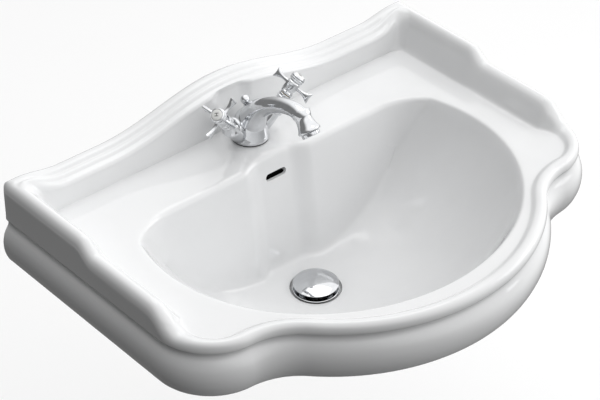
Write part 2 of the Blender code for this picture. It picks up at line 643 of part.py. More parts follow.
def handle_arm(name, parent, turn):
    """One arm of a cross handle, thin at the hub and flaring to a wide flat end."""
    stops = ((0.0070, 0.0032, 0.0032), (0.0125, 0.0026, 0.0027), (0.0190, 0.0030, 0.0029),
             (0.0255, 0.0046, 0.0034), (0.0300, 0.0062, 0.0039), (ARM_REACH, 0.0060, 0.0034))
    sides = 6
    verts = []
    for reach, half_wide, half_thick in stops:
        for a in np.linspace(0, 2 * math.pi, sides, endpoint=False):
            verts.append((reach, half_wide * math.cos(a), 0.0685 + half_thick * math.sin(a)))
    faces = grid_faces(len(stops), sides, False)
    faces += [tuple(range(sides)), tuple(range(len(verts) - sides, len(verts)))]
    return add_solid(name, verts, faces, None, parent, Matrix.Rotation(turn, 4, "Z"))


def build_supply():
    for hand, side in (("hot", -1), ("cold", 1)):
        out_x = side * 0.045
        path = [(side * TAIL_X, TAIL_Y, TAP_Z + 0.0115), (side * TAIL_X, TAIL_Y, -0.060),
                (side * 0.0180, TAIL_Y + 0.002, -0.105), (side * 0.0370, TAIL_Y + 0.006, -0.150),
                (out_x, TAIL_Y + 0.008, -0.195), (out_x, TAIL_Y + 0.008, -0.300)]
        line = smooth_path(path, 11)
        pipe = swept(f"{hand}_tail", line, [0.0048] * len(line), "copper", 8, None,
                     Vector((0, 1, 0)))
        bore = np.vstack([[line[0] + [0, 0, 0.01]], line, [line[-1] - [0, 0, 0.01]]])
        combine(pipe, [swept(f"{hand}_tail_guide", bore, [0.0038] * len(bore), None, 8, None,
                             Vector((0, 1, 0)))], "DIFFERENCE")
        at = Matrix.Translation((out_x, TAIL_Y + 0.008, 0))
        nut = prism(f"{hand}_tail_nut", polygon(0.0118, 6), -0.300, -0.284, "brass", None, at)
        combine(nut, [rod_solid(f"{hand}_tail_nut_guide", 0.0052, -0.31, -0.27, None, 12, None,
                                at)], "DIFFERENCE")


# ---- pop-up waste --------------------------------------------------------------------------
def build_waste():
    axis = Matrix.Translation((0, DRAIN_Y, 0))
    body = turned("waste_body", [
        (BARREL_BORE, FLANGE_TOP - 0.006), (0.0225, FLANGE_TOP - 0.0008), (0.0325, FLANGE_TOP),
        (0.0336, FLANGE_TOP - 0.0008), (0.0325, FLANGE_TOP - 0.0016), (0.0212, -0.1828),
        (BARREL, -0.1850), (BARREL, BARREL_END), (BARREL_BORE, BARREL_END)], "chrome", 22, None, axis)
    side_tube = Matrix.Translation((0, DRAIN_Y, PIVOT_Z)) @ Matrix.Rotation(-math.pi / 2, 4, "X")
    boss = rod_solid("pivot_boss_guide", 0.0105, 0.0180, 0.0275, None, 16, None, side_tube)
    port = rod_solid("pivot_port_guide", 0.0061, 0.0120, 0.0300, None, 14, None, side_tube)
    windows = prism("duct_window_guide", [(-0.009, -0.030), (0.009, -0.030), (0.009, 0.030),
                                          (-0.009, 0.030)], -0.1965, -0.1865, None, None, axis)
    combine(body, [boss], "UNION")
    combine(body, [port, windows], "DIFFERENCE")
    ring_solid("flange_seal", 0.0235, 0.0300, -0.1845, -0.1833, "rubber", 18, None, axis)
    turned("under_seal", [(0.0208, BOSS_BOTTOM - GAP), (0.0320, BOSS_BOTTOM - GAP),
                          (0.0320, BOSS_BOTTOM - 0.004), (0.0270, BOSS_BOTTOM - 0.007),
                          (0.0208, BOSS_BOTTOM - 0.007)], "rubber", 20, None, axis)
    nut = prism("backnut", polygon(0.0330, 8), BOSS_BOTTOM - 0.0170, BOSS_BOTTOM - 0.0075, "brass",
                None, axis)
    combine(nut, [rod_solid("backnut_guide", 0.0208, -0.25, -0.20, None, 20, None, axis)],
            "DIFFERENCE")
    turned("tailpiece", [(0.0145, BARREL_END - GAP), (0.0205, BARREL_END - GAP),
                         (0.0205, BARREL_END - 0.004), (0.0160, BARREL_END - 0.006),
                         (0.0160, TAIL_END), (0.0145, TAIL_END)], "chrome", 20, None, axis)
    turned("pivot_seal", [(0.0062, 0.0278), (0.0095, 0.0278), (0.0095, 0.0292), (0.0062, 0.0292)],
           "rubber", 14, None, side_tube)
    turned("pivot_nut", [(0.0050, 0.0296), (0.0128, 0.0296), (0.0128, 0.0350), (0.0090, 0.0380),
                         (0.0050, 0.0380)], "chrome", 14, None, side_tube)


def build_lift():
    """Lift rod and knob with the perforated strap, the lever it rocks, and the plug."""
    rod_axis = add_empty("lift_axis", Matrix.Translation((0, ROD_Y, 0)))
    rod_solid("lift_rod", ROD_RADIUS, -0.178, KNOB_Z - 0.0071, "chrome", 12, rod_axis)
    ball = [(0.0, -1.0)] + [(math.sin(a), -math.cos(a)) for a in np.linspace(0.45, 2.69, 6)] \
        + [(0.0, 1.0)]
    radius = 0.0067
    turned("lift_knob", [(radius * r, KNOB_Z + radius * z) for r, z in ball], "chrome", 14, rod_axis)
    half = 0.0045
    strap_low = PIVOT_Z - 0.046
    strap = prism("lift_strap", [(-half, -0.0100), (half, -0.0100), (half, -0.0088),
                                 (-half, -0.0088)], strap_low, -0.150, "steel", rod_axis)
    holes = []
    across = Matrix.Rotation(math.pi / 2, 4, "X")
    for k in range(4):
        z = LEVER_END_Z - 0.018 + k * 0.018
        holes.append(rod_solid(f"strap_hole_guide_{k}", 0.0034, 0.006, 0.013, None, 12, rod_axis,
                               Matrix.Translation((0, 0, z)) @ across))
    combine(strap, holes, "DIFFERENCE")
    clamp = prism("strap_clamp", [(-0.0055, -0.0085), (0.0055, -0.0085), (0.0055, 0.0055),
                                  (-0.0055, 0.0055)], -0.172, -0.160, "brass", rod_axis)
    combine(clamp, [rod_solid("strap_clamp_guide", 0.0028, -0.18, -0.15, None, 12, rod_axis)],
            "DIFFERENCE")
    screw_at = Matrix.Translation((0, 0, -0.166)) @ Matrix.Rotation(-math.pi / 2, 4, "X")
    rod_solid("clamp_screw", 0.0045, 0.0058, 0.0098, "brass", 12, rod_axis, screw_at)


LEVER_REACH = ROD_Y - 0.0094 - PIVOT_Y     # from its ball to the strap
LEVER_TILT = math.radians(-7.5)            # at rest, its outer end down
LEVER_END_Z = PIVOT_Z + LEVER_REACH * math.tan(LEVER_TILT)


def build_lever():
    pivot = Matrix.Translation((0, PIVOT_Y, PIVOT_Z))
    axis = add_empty("lever_pivot", pivot)
    tilt = Matrix.Rotation(LEVER_TILT - math.pi / 2, 4, "X")
    inner = 0.0262
    outer = LEVER_REACH / math.cos(LEVER_TILT) + 0.010
    ball = [(0.0056 * math.sin(a), -0.0056 * math.cos(a)) for a in np.linspace(0.5, 2.64, 7)]
    profile = [(0.0, -inner), (0.0022, -inner), (0.0022, -0.0052)] + ball
    profile += [(0.0022, 0.0052), (0.0022, outer), (0.0, outer)]
    turned("pivot_lever", profile, "chrome", 12, axis, tilt)


def build_plug():
    axis = add_empty("plug_axis", Matrix.Translation((0, DRAIN_Y, 0)))
    top, rim = PLUG_TOP, PLUG_TOP - 0.0055
    eye = PIVOT_Z - math.tan(LEVER_TILT) * 0.024
    plug = turned("plug", [
        (0.0, top), (0.0120, top - 0.0006), (0.0220, top - 0.0020), (0.0290, top - 0.0037),
        (PLUG_RADIUS, rim), (PLUG_RADIUS - 0.0004, rim - 0.0014), (0.0290, rim - 0.0016),
        (0.0125, rim - 0.0006), (0.0125, rim - 0.0120), (0.0045, rim - 0.0140),
        (0.0040, eye + 0.0075), (0.0, eye + 0.0075)], "chrome", 20, axis)
    loop = prism("plug_loop_guide", [(-0.0040, -0.0022), (0.0040, -0.0022), (0.0040, 0.0022),
                                     (-0.0040, 0.0022)], eye - 0.0085, eye + 0.0100, None, axis)
    hole_at = Matrix.Translation((0, 0, eye)) @ Matrix.Rotation(math.pi / 2, 4, "X")
    hole = rod_solid("plug_eye_guide", 0.0029, -0.01, 0.01, None, 12, axis, hole_at)
    combine(plug, [loop], "UNION")
    combine(plug, [hole], "DIFFERENCE")
    ring_solid("plug_seal", 0.0128, 0.0158, rim - 0.0052, rim - 0.0022, "rubber", 16, axis)


# ---- wall fixings --------------------------------------------------------------------------
def build_wall_fixings():
    for hand, side in (("left", -1), ("right", 1)):
        at = Matrix.Translation((side * BOLT_X, 0, BOLT_Z)) @ Matrix.Rotation(math.pi / 2, 4, "X")
        rod_solid(f"{hand}_wall_bolt", 0.0048, 0.0005, 0.0340, "steel", 12, None, at)
        turned(f"{hand}_bolt_sleeve", [(0.0051, 0.0005), (0.0082, 0.0005), (0.0082, 0.0123),
                                       (0.0130, 0.0123), (0.0130, 0.0143), (0.0051, 0.0143)],
               "nylon", 14, None, at)
        ring_solid(f"{hand}_bolt_washer", 0.0052, 0.0120, 0.0146, 0.0164, "steel", 14, None, at)
        nut = prism(f"{hand}_bolt_nut", polygon(0.0092, 6), 0.0167, 0.0247, "steel", None, at)
        combine(nut, [rod_solid(f"{hand}_bolt_nut_guide", 0.0053, 0.010, 0.030, None, 14, None, at)],
                "DIFFERENCE")


def main():
    clear_scene()
    build_basin()
    build_spout_parts()
    build_supply()
    build_valve("hot", -1)
    build_valve("cold", 1)
    build_waste()
    build_lift()
    build_lever()
    build_plug()
    build_wall_fixings()


main()
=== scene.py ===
"""Visual model of a wall-held washbasin with a one-hole mixer and a pop-up waste.

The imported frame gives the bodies, the joints and the plain solids. This script lays the fine china,
the plated brass and the small fittings round that frame, dresses every node that stays in view, and
adds a pale floor, soft studio light and a camera. Metres, +Z up, the wall face is the plane Y = 0.
"""
from __future__ import annotations

import logging
import math
from dataclasses import dataclass, field
from enum import Enum
from typing import Any, Mapping, Sequence

import bpy
import numpy as np
from mathutils import Matrix, Vector

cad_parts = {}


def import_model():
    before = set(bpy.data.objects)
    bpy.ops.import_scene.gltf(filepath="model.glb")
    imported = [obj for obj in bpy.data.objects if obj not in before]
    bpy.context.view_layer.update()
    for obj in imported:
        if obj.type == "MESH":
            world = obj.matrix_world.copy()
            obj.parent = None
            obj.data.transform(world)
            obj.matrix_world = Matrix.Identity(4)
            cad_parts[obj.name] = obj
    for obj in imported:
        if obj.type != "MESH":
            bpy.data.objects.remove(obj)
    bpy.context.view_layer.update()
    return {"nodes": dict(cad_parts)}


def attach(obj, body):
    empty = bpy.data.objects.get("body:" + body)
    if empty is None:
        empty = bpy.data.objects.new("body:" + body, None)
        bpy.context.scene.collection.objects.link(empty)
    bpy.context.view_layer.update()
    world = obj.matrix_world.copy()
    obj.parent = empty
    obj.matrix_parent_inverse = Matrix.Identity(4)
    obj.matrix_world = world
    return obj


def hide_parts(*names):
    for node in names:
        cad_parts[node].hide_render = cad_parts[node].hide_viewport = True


Array = np.ndarray
Point = tuple[float, float]
LOG = logging.getLogger("washbasin")
UP = Vector((0.0, 0.0, 1.0))


# ---- numbers and curves --------------------------------------------------------------------
def ease(x: Array | float, low: float, high: float) -> Array:
    """Smooth 0 to 1 step: 3t^2 - 2t^3 of the share t of the way from low to high."""
    t = np.clip((np.asarray(x, float) - low) / (high - low), 0.0, 1.0)
    return t * t * (3.0 - 2.0 * t)


def mix(a: Any, b: Any, t: Any) -> Any:
    """Straight blend from a to b."""
    return a + (b - a) * t


def packed_stops(low: float, high: float, count: int, spots: Sequence[float], spread: float,
                 gain: float) -> Array:
    """count stops from low to high, its end left out, packed closer round some spots.

    The stops are even steps of the integral of 1 + gain e^-((x - spot)/spread)^2.
    """
    fine = np.linspace(low, high, 600)
    density = np.ones_like(fine)
    for spot in spots:
        density += gain * np.exp(-((fine - spot) / spread) ** 2)
    total = np.concatenate([[0.0], np.cumsum(0.5 * (density[1:] + density[:-1]))])
    return np.interp(np.linspace(0.0, total[-1], count + 1)[:-1], total, fine)


def smooth_rows(rows: Array, steps: int) -> Array:
    """Catmull-Rom curves down the columns of a stack of rows, steps to each gap."""
    ends = np.concatenate([2 * rows[:1] - rows[1:2], rows, 2 * rows[-1:] - rows[-2:-1]])
    stops = np.linspace(0.0, len(rows) - 1, (len(rows) - 1) * steps + 1)
    cell = np.minimum(stops.astype(int), len(rows) - 2)
    t = (stops - cell).reshape((-1,) + (1,) * (rows.ndim - 1))
    a, b, c, d = (ends[cell + k] for k in range(4))
    return 0.5 * (2 * b + (c - a) * t + (2 * a - 5 * b + 4 * c - d) * t ** 2
                  + (3 * b - a - 3 * c + d) * t ** 3)


def straight_rows(rows: Array, steps: int) -> Array:
    """Straight lines down the columns of a stack of rows, steps to each gap."""
    stops = np.linspace(0.0, len(rows) - 1, (len(rows) - 1) * steps + 1)
    cell = np.minimum(stops.astype(int), len(rows) - 2)
    t = (stops - cell).reshape((-1,) + (1,) * (rows.ndim - 1))
    return mix(rows[cell], rows[cell + 1], t)


def rounded(profile: Sequence[Point], radius: float, steps: int = 4, closed: bool = True) -> Array:
    """Round a profile's corners with parabolas that leave each edge at most radius away.

    Args:
        profile: Corners as (radius, height) points.
        radius: How far from a corner its rounding starts, at most 0.45 of an edge.
        steps: Gaps in each rounding.
        closed: Whether the last corner joins the first.

    Returns:
        The points of the rounded profile.
    """
    points = np.asarray(profile, float)
    before, after = np.roll(points, 1, 0), np.roll(points, -1, 0)
    reach_in = np.linalg.norm(before - points, axis=1, keepdims=True)
    reach_out = np.linalg.norm(after - points, axis=1, keepdims=True)
    start = mix(points, before, np.minimum(radius / reach_in, 0.45))
    stop = mix(points, after, np.minimum(radius / reach_out, 0.45))
    t = np.linspace(0.0, 1.0, steps + 1)[None, :, None]
    curve = (1 - t) ** 2 * start[:, None] + 2 * t * (1 - t) * points[:, None] + t ** 2 * stop[:, None]
    if closed:
        return curve.reshape(-1, 2)
    return np.vstack([points[:1], curve[1:-1].reshape(-1, 2), points[-1:]])


# ---- grids and meshes ----------------------------------------------------------------------
@dataclass(frozen=True)
class Patch:
    """A grid of points, each row a closed loop: a tube, or a ring where its rows close too.

    Attributes:
        points: Array of rows by columns by 3.
        loop: Whether the last row joins the first. Otherwise both ends are closed with fans.
        flat: Whether each open end is one flat face instead of a fan.
    """

    points: Array
    loop: bool = False
    flat: bool = False

    def arrays(self) -> tuple[Array, list[Array]]:
        """Points and faces: quads between rows, and fans round a middle point at open ends."""
        rows, cols, _ = self.points.shape
        row = np.arange(rows if self.loop else rows - 1)[:, None]
        col = np.arange(cols)[None, :]
        low, high = row * cols, ((row + 1) % rows) * cols
        nxt = (col + 1) % cols
        quads = np.stack([low + col, low + nxt, high + nxt, high + col], -1).reshape(-1, 4)
        verts = self.points.reshape(-1, 3)
        if self.loop:
            return verts, [quads]
        hubs = self.points[[0, -1]].mean(1)
        first = rows * cols
        ring = np.arange(cols)
        turn = (ring + 1) % cols
        last = (rows - 1) * cols
        if self.flat:
            return verts, [quads, np.stack([ring[::-1], last + ring])]
        fans = [np.stack([turn, ring, np.full(cols, first)], -1),
                np.stack([last + ring, last + turn, np.full(cols, first + 1)], -1)]
        return np.vstack([verts, hubs]), [quads, np.vstack(fans)]

    def moved(self, place: Matrix) -> Patch:
        """The same grid carried by a matrix."""
        turn = np.array(place.to_3x3())
        return Patch(self.points @ turn.T + np.array(place.translation), self.loop, self.flat)


def mesh_object(name: str, patches: Sequence[Patch], crease: float = 38.0) -> bpy.types.Object:
    """Put patches into one smooth-shaded mesh object whose faces point outwards.

    Args:
        name: The object's name.
        patches: Closed grids.
        crease: Edges sharper than this many degrees stay sharp.

    Returns:
        The new object, at the origin.
    """
    verts, faces, shift = [], [], 0
    for patch in patches:
        points, groups = patch.arrays()
        volume = sum(signed_volume(points, group) for group in groups)
        for group in groups:
            faces += ((group if volume > 0 else group[:, ::-1]) + shift).tolist()
        verts.append(points)
        shift += len(points)
    mesh = bpy.data.meshes.new(name)
    mesh.from_pydata(np.vstack(verts), [], faces)
    mesh.validate()
    mesh.shade_smooth()
    mesh.set_sharp_from_angle(angle=math.radians(crease))
    piece = bpy.data.objects.new(name, mesh)
    bpy.context.collection.objects.link(piece)
    return piece


def signed_volume(points: Array, faces: Array) -> float:
    """Six times the volume under the faces' fans, positive where they point outwards."""
    total = 0.0
    for k in range(1, faces.shape[1] - 1):
        a, b, c = points[faces[:, 0]], points[faces[:, k]], points[faces[:, k + 1]]
        total += float(np.einsum("ij,ij->", a, np.cross(b, c)))
    return total


class Join(Enum):
    """How a tool changes a mesh."""

    UNION = "UNION"
    CUT = "DIFFERENCE"


def carve(piece: bpy.types.Object, tools: Sequence[bpy.types.Object], join: Join,
          crease: float = 38.0) -> bpy.types.Object:
    """Apply exact Booleans to a piece and remove the tools."""
    for tool in tools:
        step = piece.modifiers.new(tool.name, "BOOLEAN")
        step.operation = join.value
        step.solver = "EXACT"
        step.object = tool
    bpy.context.view_layer.update()
    graph = bpy.context.evaluated_depsgraph_get()
    mesh = bpy.data.meshes.new_from_object(piece.evaluated_get(graph))
    piece.modifiers.clear()
    piece.data = mesh
    mesh.shade_smooth()
    mesh.set_sharp_from_angle(angle=math.radians(crease))
    for tool in tools:
        bpy.data.objects.remove(tool)
    return piece


def circle(count: int, turn: float = 0.0) -> Array:
    """count points of the unit circle as columns of cosines and sines."""
    a = turn + np.linspace(0.0, 2.0 * math.pi, count, endpoint=False)
    return np.stack([np.cos(a), np.sin(a)], -1)


def lathe(profile: Array | Sequence[Point], segments: int = 64, loop: bool = True) -> Patch:
    """Turn (radius, height) points about Z: x = r cos a, y = r sin a, z = height."""
    points = np.asarray(profile, float)
    ring = circle(segments)
    xy = points[:, None, :1] * ring[None]
    z = np.broadcast_to(points[:, None, 1:], xy.shape[:2] + (1,))
    return Patch(np.concatenate([xy, z], -1), loop)


def rod(radius: float, low: float, high: float, bevel: float = 0.0004, segments: int = 48) -> Patch:
    """A round bar along Z with rounded ends."""
    profile = rounded([(1e-5, low), (radius, low), (radius, high), (1e-5, high)], bevel, 4, False)
    return lathe(profile, segments, False)


def sleeve(inner: float, outer: float, low: float, high: float, bevel: float = 0.0003,
           segments: int = 64) -> Patch:
    """A ring of rectangular section with rounded edges."""
    profile = [(inner, low), (outer, low), (outer, high), (inner, high)]
    return lathe(rounded(profile, bevel), segments)


def nut(across: float, inner: float, low: float, high: float, sides: int = 6) -> Patch:
    """A nut with chamfered corners: a polygon whose corners are drawn in near both faces.

    The outer radius at angle a is the polygon's, r cos(pi/n) / cos(a mod 2pi/n - pi/n), and no more
    than a cone that rises from the faces.
    """
    angles = np.linspace(0.0, 2 * math.pi, sides * 12, endpoint=False)
    flat = across * math.cos(math.pi / sides)
    reach = flat / np.cos(angles % (2 * math.pi / sides) - math.pi / sides)
    drop = 0.10 * across
    rows = [(inner, low), (0.93 * flat, low), (None, low + drop), (None, high - drop),
            (0.93 * flat, high), (inner, high)]
    cone = 0.93 * flat + 1.4 * drop
    points = []
    for radius, z in rows:
        r = np.full_like(angles, radius) if radius else np.minimum(reach, max(cone, flat))
        points.append(np.stack([r * np.cos(angles), r * np.sin(angles), np.full_like(angles, z)], -1))
    return Patch(np.array(points), True)


def plate(outline: Array, low: float, high: float, bevel: float) -> Patch:
    """A flat plate with rounded edges: the outline, drawn in towards its middle at both faces."""
    middle = outline.mean(0)
    reach = np.linalg.norm(outline - middle, axis=1, keepdims=True)
    inward = (middle - outline) / reach
    rows = []
    for t in np.linspace(0.0, math.pi / 2, 4):
        rows.append((outline + inward * bevel * (1 - math.sin(t)), low + bevel * (1 - math.cos(t))))
    rows += [(plan, low + high - z) for plan, z in rows[::-1]]
    points = [np.column_stack([plan, np.full(len(plan), z)]) for plan, z in rows]
    return Patch(np.array(points))


def along(path: Array, radii: Array, section: Array, side: Vector = Vector((1, 0, 0)),
          last: Vector | None = None) -> Patch:
    """Carry a flat section along a path that lies in one plane.

    Args:
        path: Points of the middle line.
        radii: Scale of the section at each point.
        section: Closed loop of (across, up) points, or one such loop for each path point.
        side: Unit normal of the plane, the section's across direction.
        last: Direction that the last section faces, where it isn't the path's own.

    Returns:
        The swept grid, with open ends.
    """
    step = np.gradient(path, axis=0)
    step /= np.linalg.norm(step, axis=1, keepdims=True)
    if last is not None:
        share = ease(np.arange(len(path)), len(path) - 7, len(path) - 1)[:, None]
        step = mix(step, np.array(last), share)
        step /= np.linalg.norm(step, axis=1, keepdims=True)
    across = np.array(side)
    lift = np.cross(across[None], step)
    loops = np.broadcast_to(section, (len(path),) + section.shape[-2:]) * radii[:, None, None]
    return Patch(path[:, None] + loops[..., :1] * across + loops[..., 1:] * lift[:, None])


def frame_along(origin: Vector, axis: Vector) -> Matrix:
    """A matrix whose Z is axis and whose X is level."""
    z = axis.normalized()
    x = UP.cross(z).normalized()
    matrix = Matrix((x, z.cross(x), z)).transposed().to_4x4()
    matrix.translation = origin
    return matrix


# ---- shader graphs -------------------------------------------------------------------------
@dataclass(frozen=True)
class Signal:
    """A shader socket whose Python operators add Math nodes."""

    graph: Graph
    socket: bpy.types.NodeSocket

    def __add__(self, other: Signal | float) -> Signal:
        """Sum."""
        return self.graph.math("ADD", self, other)

    def __sub__(self, other: Signal | float) -> Signal:
        """Difference."""
        return self.graph.math("SUBTRACT", self, other)

    def __mul__(self, other: Signal | float) -> Signal:
        """Product."""
        return self.graph.math("MULTIPLY", self, other)

    def __truediv__(self, other: Signal | float) -> Signal:
        """Quotient."""
        return self.graph.math("DIVIDE", self, other)

    def __pow__(self, other: Signal | float) -> Signal:
        """Power."""
        return self.graph.math("POWER", self, other)

    def __radd__(self, other: float) -> Signal:
        """Sum with a number first."""
        return self.graph.math("ADD", other, self)

    def __rsub__(self, other: float) -> Signal:
        """Difference from a number."""
        return self.graph.math("SUBTRACT", other, self)

    def __rmul__(self, other: float) -> Signal:
        """Product with a number first."""
        return self.graph.math("MULTIPLY", other, self)

    def between(self, low: float, high: float) -> Signal:
        """Smooth 0 to 1 step of the value from low to high."""
        node = self.graph.node("ShaderNodeMapRange", {"interpolation_type": "SMOOTHSTEP"},
                               {"Value": self, "From Min": low, "From Max": high})
        return Signal(self.graph, node.outputs["Result"])


class Graph:
    """The node tree of one material, with its Principled BSDF."""

    def __init__(self, name: str) -> None:
        """Start a material with only its shader and its output."""
        self.material = bpy.data.materials.new(name)
        self.material.use_nodes = True
        self.tree = self.material.node_tree
        self.shader = self.tree.nodes["Principled BSDF"]

    def node(self, kind: str, settings: Mapping[str, Any] | None = None,
             values: Mapping[Any, Any] | None = None) -> bpy.types.Node:
        """Add a node.

        Args:
            kind: The node's type.
            settings: Its properties, set first. A ramp's stops are given under "stops".
            values: Numbers, colours or signals for its input sockets, by name or index.

        Returns:
            The new node.
        """
        node = self.tree.nodes.new(kind)
        for key, value in (settings or {}).items():
            if key == "stops":
                for stop, (place, shade) in zip(node.color_ramp.elements, value):
                    stop.position, stop.color = place, shade
            else:
                setattr(node, key, value)
        for key, value in (values or {}).items():
            if isinstance(value, Signal):
                self.tree.links.new(value.socket, node.inputs[key])
            else:
                node.inputs[key].default_value = value
        return node

    def math(self, operation: str, a: Signal | float, b: Signal | float) -> Signal:
        """One Math node."""
        node = self.node("ShaderNodeMath", {"operation": operation}, {0: a, 1: b})
        return Signal(self, node.outputs[0])

    def place(self) -> Signal:
        """Object coordinates, in metres."""
        return Signal(self, self.node("ShaderNodeTexCoord").outputs["Object"])

    def axis(self, name: str) -> Signal:
        """One of the object coordinates, X, Y or Z."""
        node = self.node("ShaderNodeSeparateXYZ", None, {"Vector": self.place()})
        return Signal(self, node.outputs[name])

    def stretched(self, scale: Sequence[float], turn: Sequence[float] = (0.0, 0.0, 0.0)) -> Signal:
        """Object coordinates scaled along each axis and turned."""
        node = self.node("ShaderNodeMapping", None, {"Vector": self.place(), "Scale": tuple(scale),
                                                     "Rotation": tuple(turn)})
        return Signal(self, node.outputs["Vector"])

    def noise(self, scale: float, detail: float = 3.0, vector: Signal | None = None) -> Signal:
        """Fractal noise from 0 to 1 at scale cells to the metre."""
        node = self.node("ShaderNodeTexNoise", None, {"Vector": vector or self.place(),
                                                      "Scale": scale, "Detail": detail})
        return Signal(self, node.outputs["Fac"])

    def cells(self, scale: float, vector: Signal | None = None) -> Signal:
        """Distance to the nearest of scattered points."""
        node = self.node("ShaderNodeTexVoronoi", None, {"Vector": vector or self.place(),
                                                        "Scale": scale})
        return Signal(self, node.outputs["Distance"])

    def blend(self, share: Signal | float, a: Any, b: Any) -> Signal:
        """Mix two colours."""
        node = self.node("ShaderNodeMix", {"data_type": "RGBA"},
                         {"Factor": share, 6: a, 7: b})
        return Signal(self, node.outputs[2])

    def bump(self, height: Signal, strength: float, depth: float) -> Signal:
        """Normal from a height."""
        node = self.node("ShaderNodeBump", None, {"Height": height, "Strength": strength,
                                                  "Distance": depth})
        return Signal(self, node.outputs["Normal"])

    def feed(self, **values: Any) -> bpy.types.Material:
        """Set or link the shader's sockets, given with _ for a space, and return the material."""
        for key, value in values.items():
            socket = self.shader.inputs[key.replace("_", " ")]
            if isinstance(value, Signal):
                self.tree.links.new(value.socket, socket)
            else:
                socket.default_value = value
        return self.material


def rgb(red: float, green: float, blue: float) -> tuple[float, float, float, float]:
    """An opaque colour."""
    return red, green, blue, 1.0


# ---- finishes ------------------------------------------------------------------------------
@dataclass(frozen=True)
class Glaze:
    """White vitreous glaze over china: faint cloudiness, a soft ripple and a few dust specks."""

    colour: tuple = (0.80, 0.805, 0.81)
    cloud: tuple = (0.765, 0.77, 0.775)
    gloss: float = 0.055
    ripple: float = 0.00012

    def make(self, name: str) -> bpy.types.Material:
        """Build the material."""
        graph = Graph(name)
        clouds = graph.noise(7.0, 4.0).between(0.35, 0.75)
        ripple = graph.noise(26.0, 2.0) + 0.25 * graph.noise(140.0, 2.0)
        specks = 1 - graph.cells(240.0).between(0.015, 0.04)
        body = graph.blend(clouds, rgb(*self.colour), rgb(*self.cloud))
        body = graph.blend(specks * 0.05, body, rgb(0.55, 0.53, 0.50))
        return graph.feed(
            # painted shade: the base colour goes near-black inside the overflow's passage, standing in
            # for the dark of the recess behind the slot
            Base_Color=graph.blend(self.passage(graph), body, rgb(0.012, 0.012, 0.012)),
            Roughness=self.gloss + 0.05 * graph.noise(18.0, 3.0),
            Normal=graph.bump(ripple, 0.22, self.ripple * 8),
            Specular_IOR_Level=0.5, Coat_Weight=0.35, Coat_Roughness=0.03)

    @staticmethod
    def passage(graph: Graph) -> Signal:
        """1 inside the overflow's passage, behind the bowl's back wall, where the glaze's colour is
        painted near-black as painted shade of the recess.
        """
        x, y, z = (graph.axis(name) for name in "XYZ")
        behind = y - 0.1333 * z
        inside = behind.between(-0.12480, -0.12430) * (1 - behind.between(-0.1130, -0.1125))
        across = 1 - graph.math("ABSOLUTE", x, 0.0).between(0.0170, 0.0175)
        return inside * across * (1 - z.between(-0.0195, -0.0190)) * z.between(-0.176, -0.175)


@dataclass(frozen=True)
class Plating:
    """Polished plate: nearly clear, with wiping marks and dried water spots in its gloss."""

    colour: tuple = (0.66, 0.67, 0.685)
    shade: tuple = (0.56, 0.57, 0.585)
    gloss: float = 0.06
    spots: float = 0.10

    def make(self, name: str) -> bpy.types.Material:
        """Build the material."""
        graph = Graph(name)
        wipes = graph.noise(60.0, 5.0, graph.stretched((1.0, 3.0, 1.0), (0.3, 0.5, 0.2)))
        dried = 1 - graph.cells(170.0).between(0.10, 0.30)
        rim = dried * graph.cells(170.0).between(0.04, 0.16)
        return graph.feed(
            Base_Color=graph.blend(wipes.between(0.35, 0.8) * 0.5, rgb(*self.colour),
                                   rgb(*self.shade)),
            Metallic=1.0,
            Roughness=self.gloss + wipes.between(0.4, 0.8) * 0.035 + rim * self.spots,
            Normal=graph.bump(graph.noise(90.0, 2.0), 0.05, 0.0004))


@dataclass(frozen=True)
class Metal:
    """Plain machined or drawn metal with tool lines, tarnish in patches and worn gloss."""

    colour: tuple
    tarnish: tuple
    gloss: float = 0.28
    lines: tuple = (40.0, 40.0, 900.0)
    share: float = 0.6

    def make(self, name: str) -> bpy.types.Material:
        """Build the material."""
        graph = Graph(name)
        turned = graph.noise(1.0, 3.0, graph.stretched(self.lines))
        patches = graph.noise(55.0, 5.0).between(0.42, 0.72)
        return graph.feed(
            Base_Color=graph.blend(patches * self.share, rgb(*self.colour), rgb(*self.tarnish)),
            Metallic=1.0,
            Roughness=self.gloss + 0.16 * patches + 0.10 * turned,
            Normal=graph.bump(turned, 0.25, 0.0002))


@dataclass(frozen=True)
class Moulded:
    """Moulded rubber, nylon or fired ceramic: a fine grain and uneven colour."""

    colour: tuple
    second: tuple
    rough: float
    grain: float = 900.0
    relief: float = 0.25

    def make(self, name: str) -> bpy.types.Material:
        """Build the material."""
        graph = Graph(name)
        grain = graph.noise(self.grain, 3.0)
        uneven = graph.noise(45.0, 4.0).between(0.35, 0.7)
        return graph.feed(
            Base_Color=graph.blend(uneven, rgb(*self.colour), rgb(*self.second)),
            Roughness=self.rough + 0.12 * grain,
            Normal=graph.bump(grain, self.relief, 0.0002))


@dataclass(frozen=True)
class Floor:
    """Pale matt floor with a faint unevenness."""

    colour: tuple = (0.95, 0.95, 0.95)

    def make(self, name: str) -> bpy.types.Material:
        """Build the material."""
        graph = Graph(name)
        uneven = graph.noise(1.5, 3.0).between(0.3, 0.7)
        return graph.feed(
            Base_Color=graph.blend(uneven * 0.3, rgb(*self.colour), rgb(0.93, 0.93, 0.93)),
            Roughness=0.75 + 0.1 * uneven)


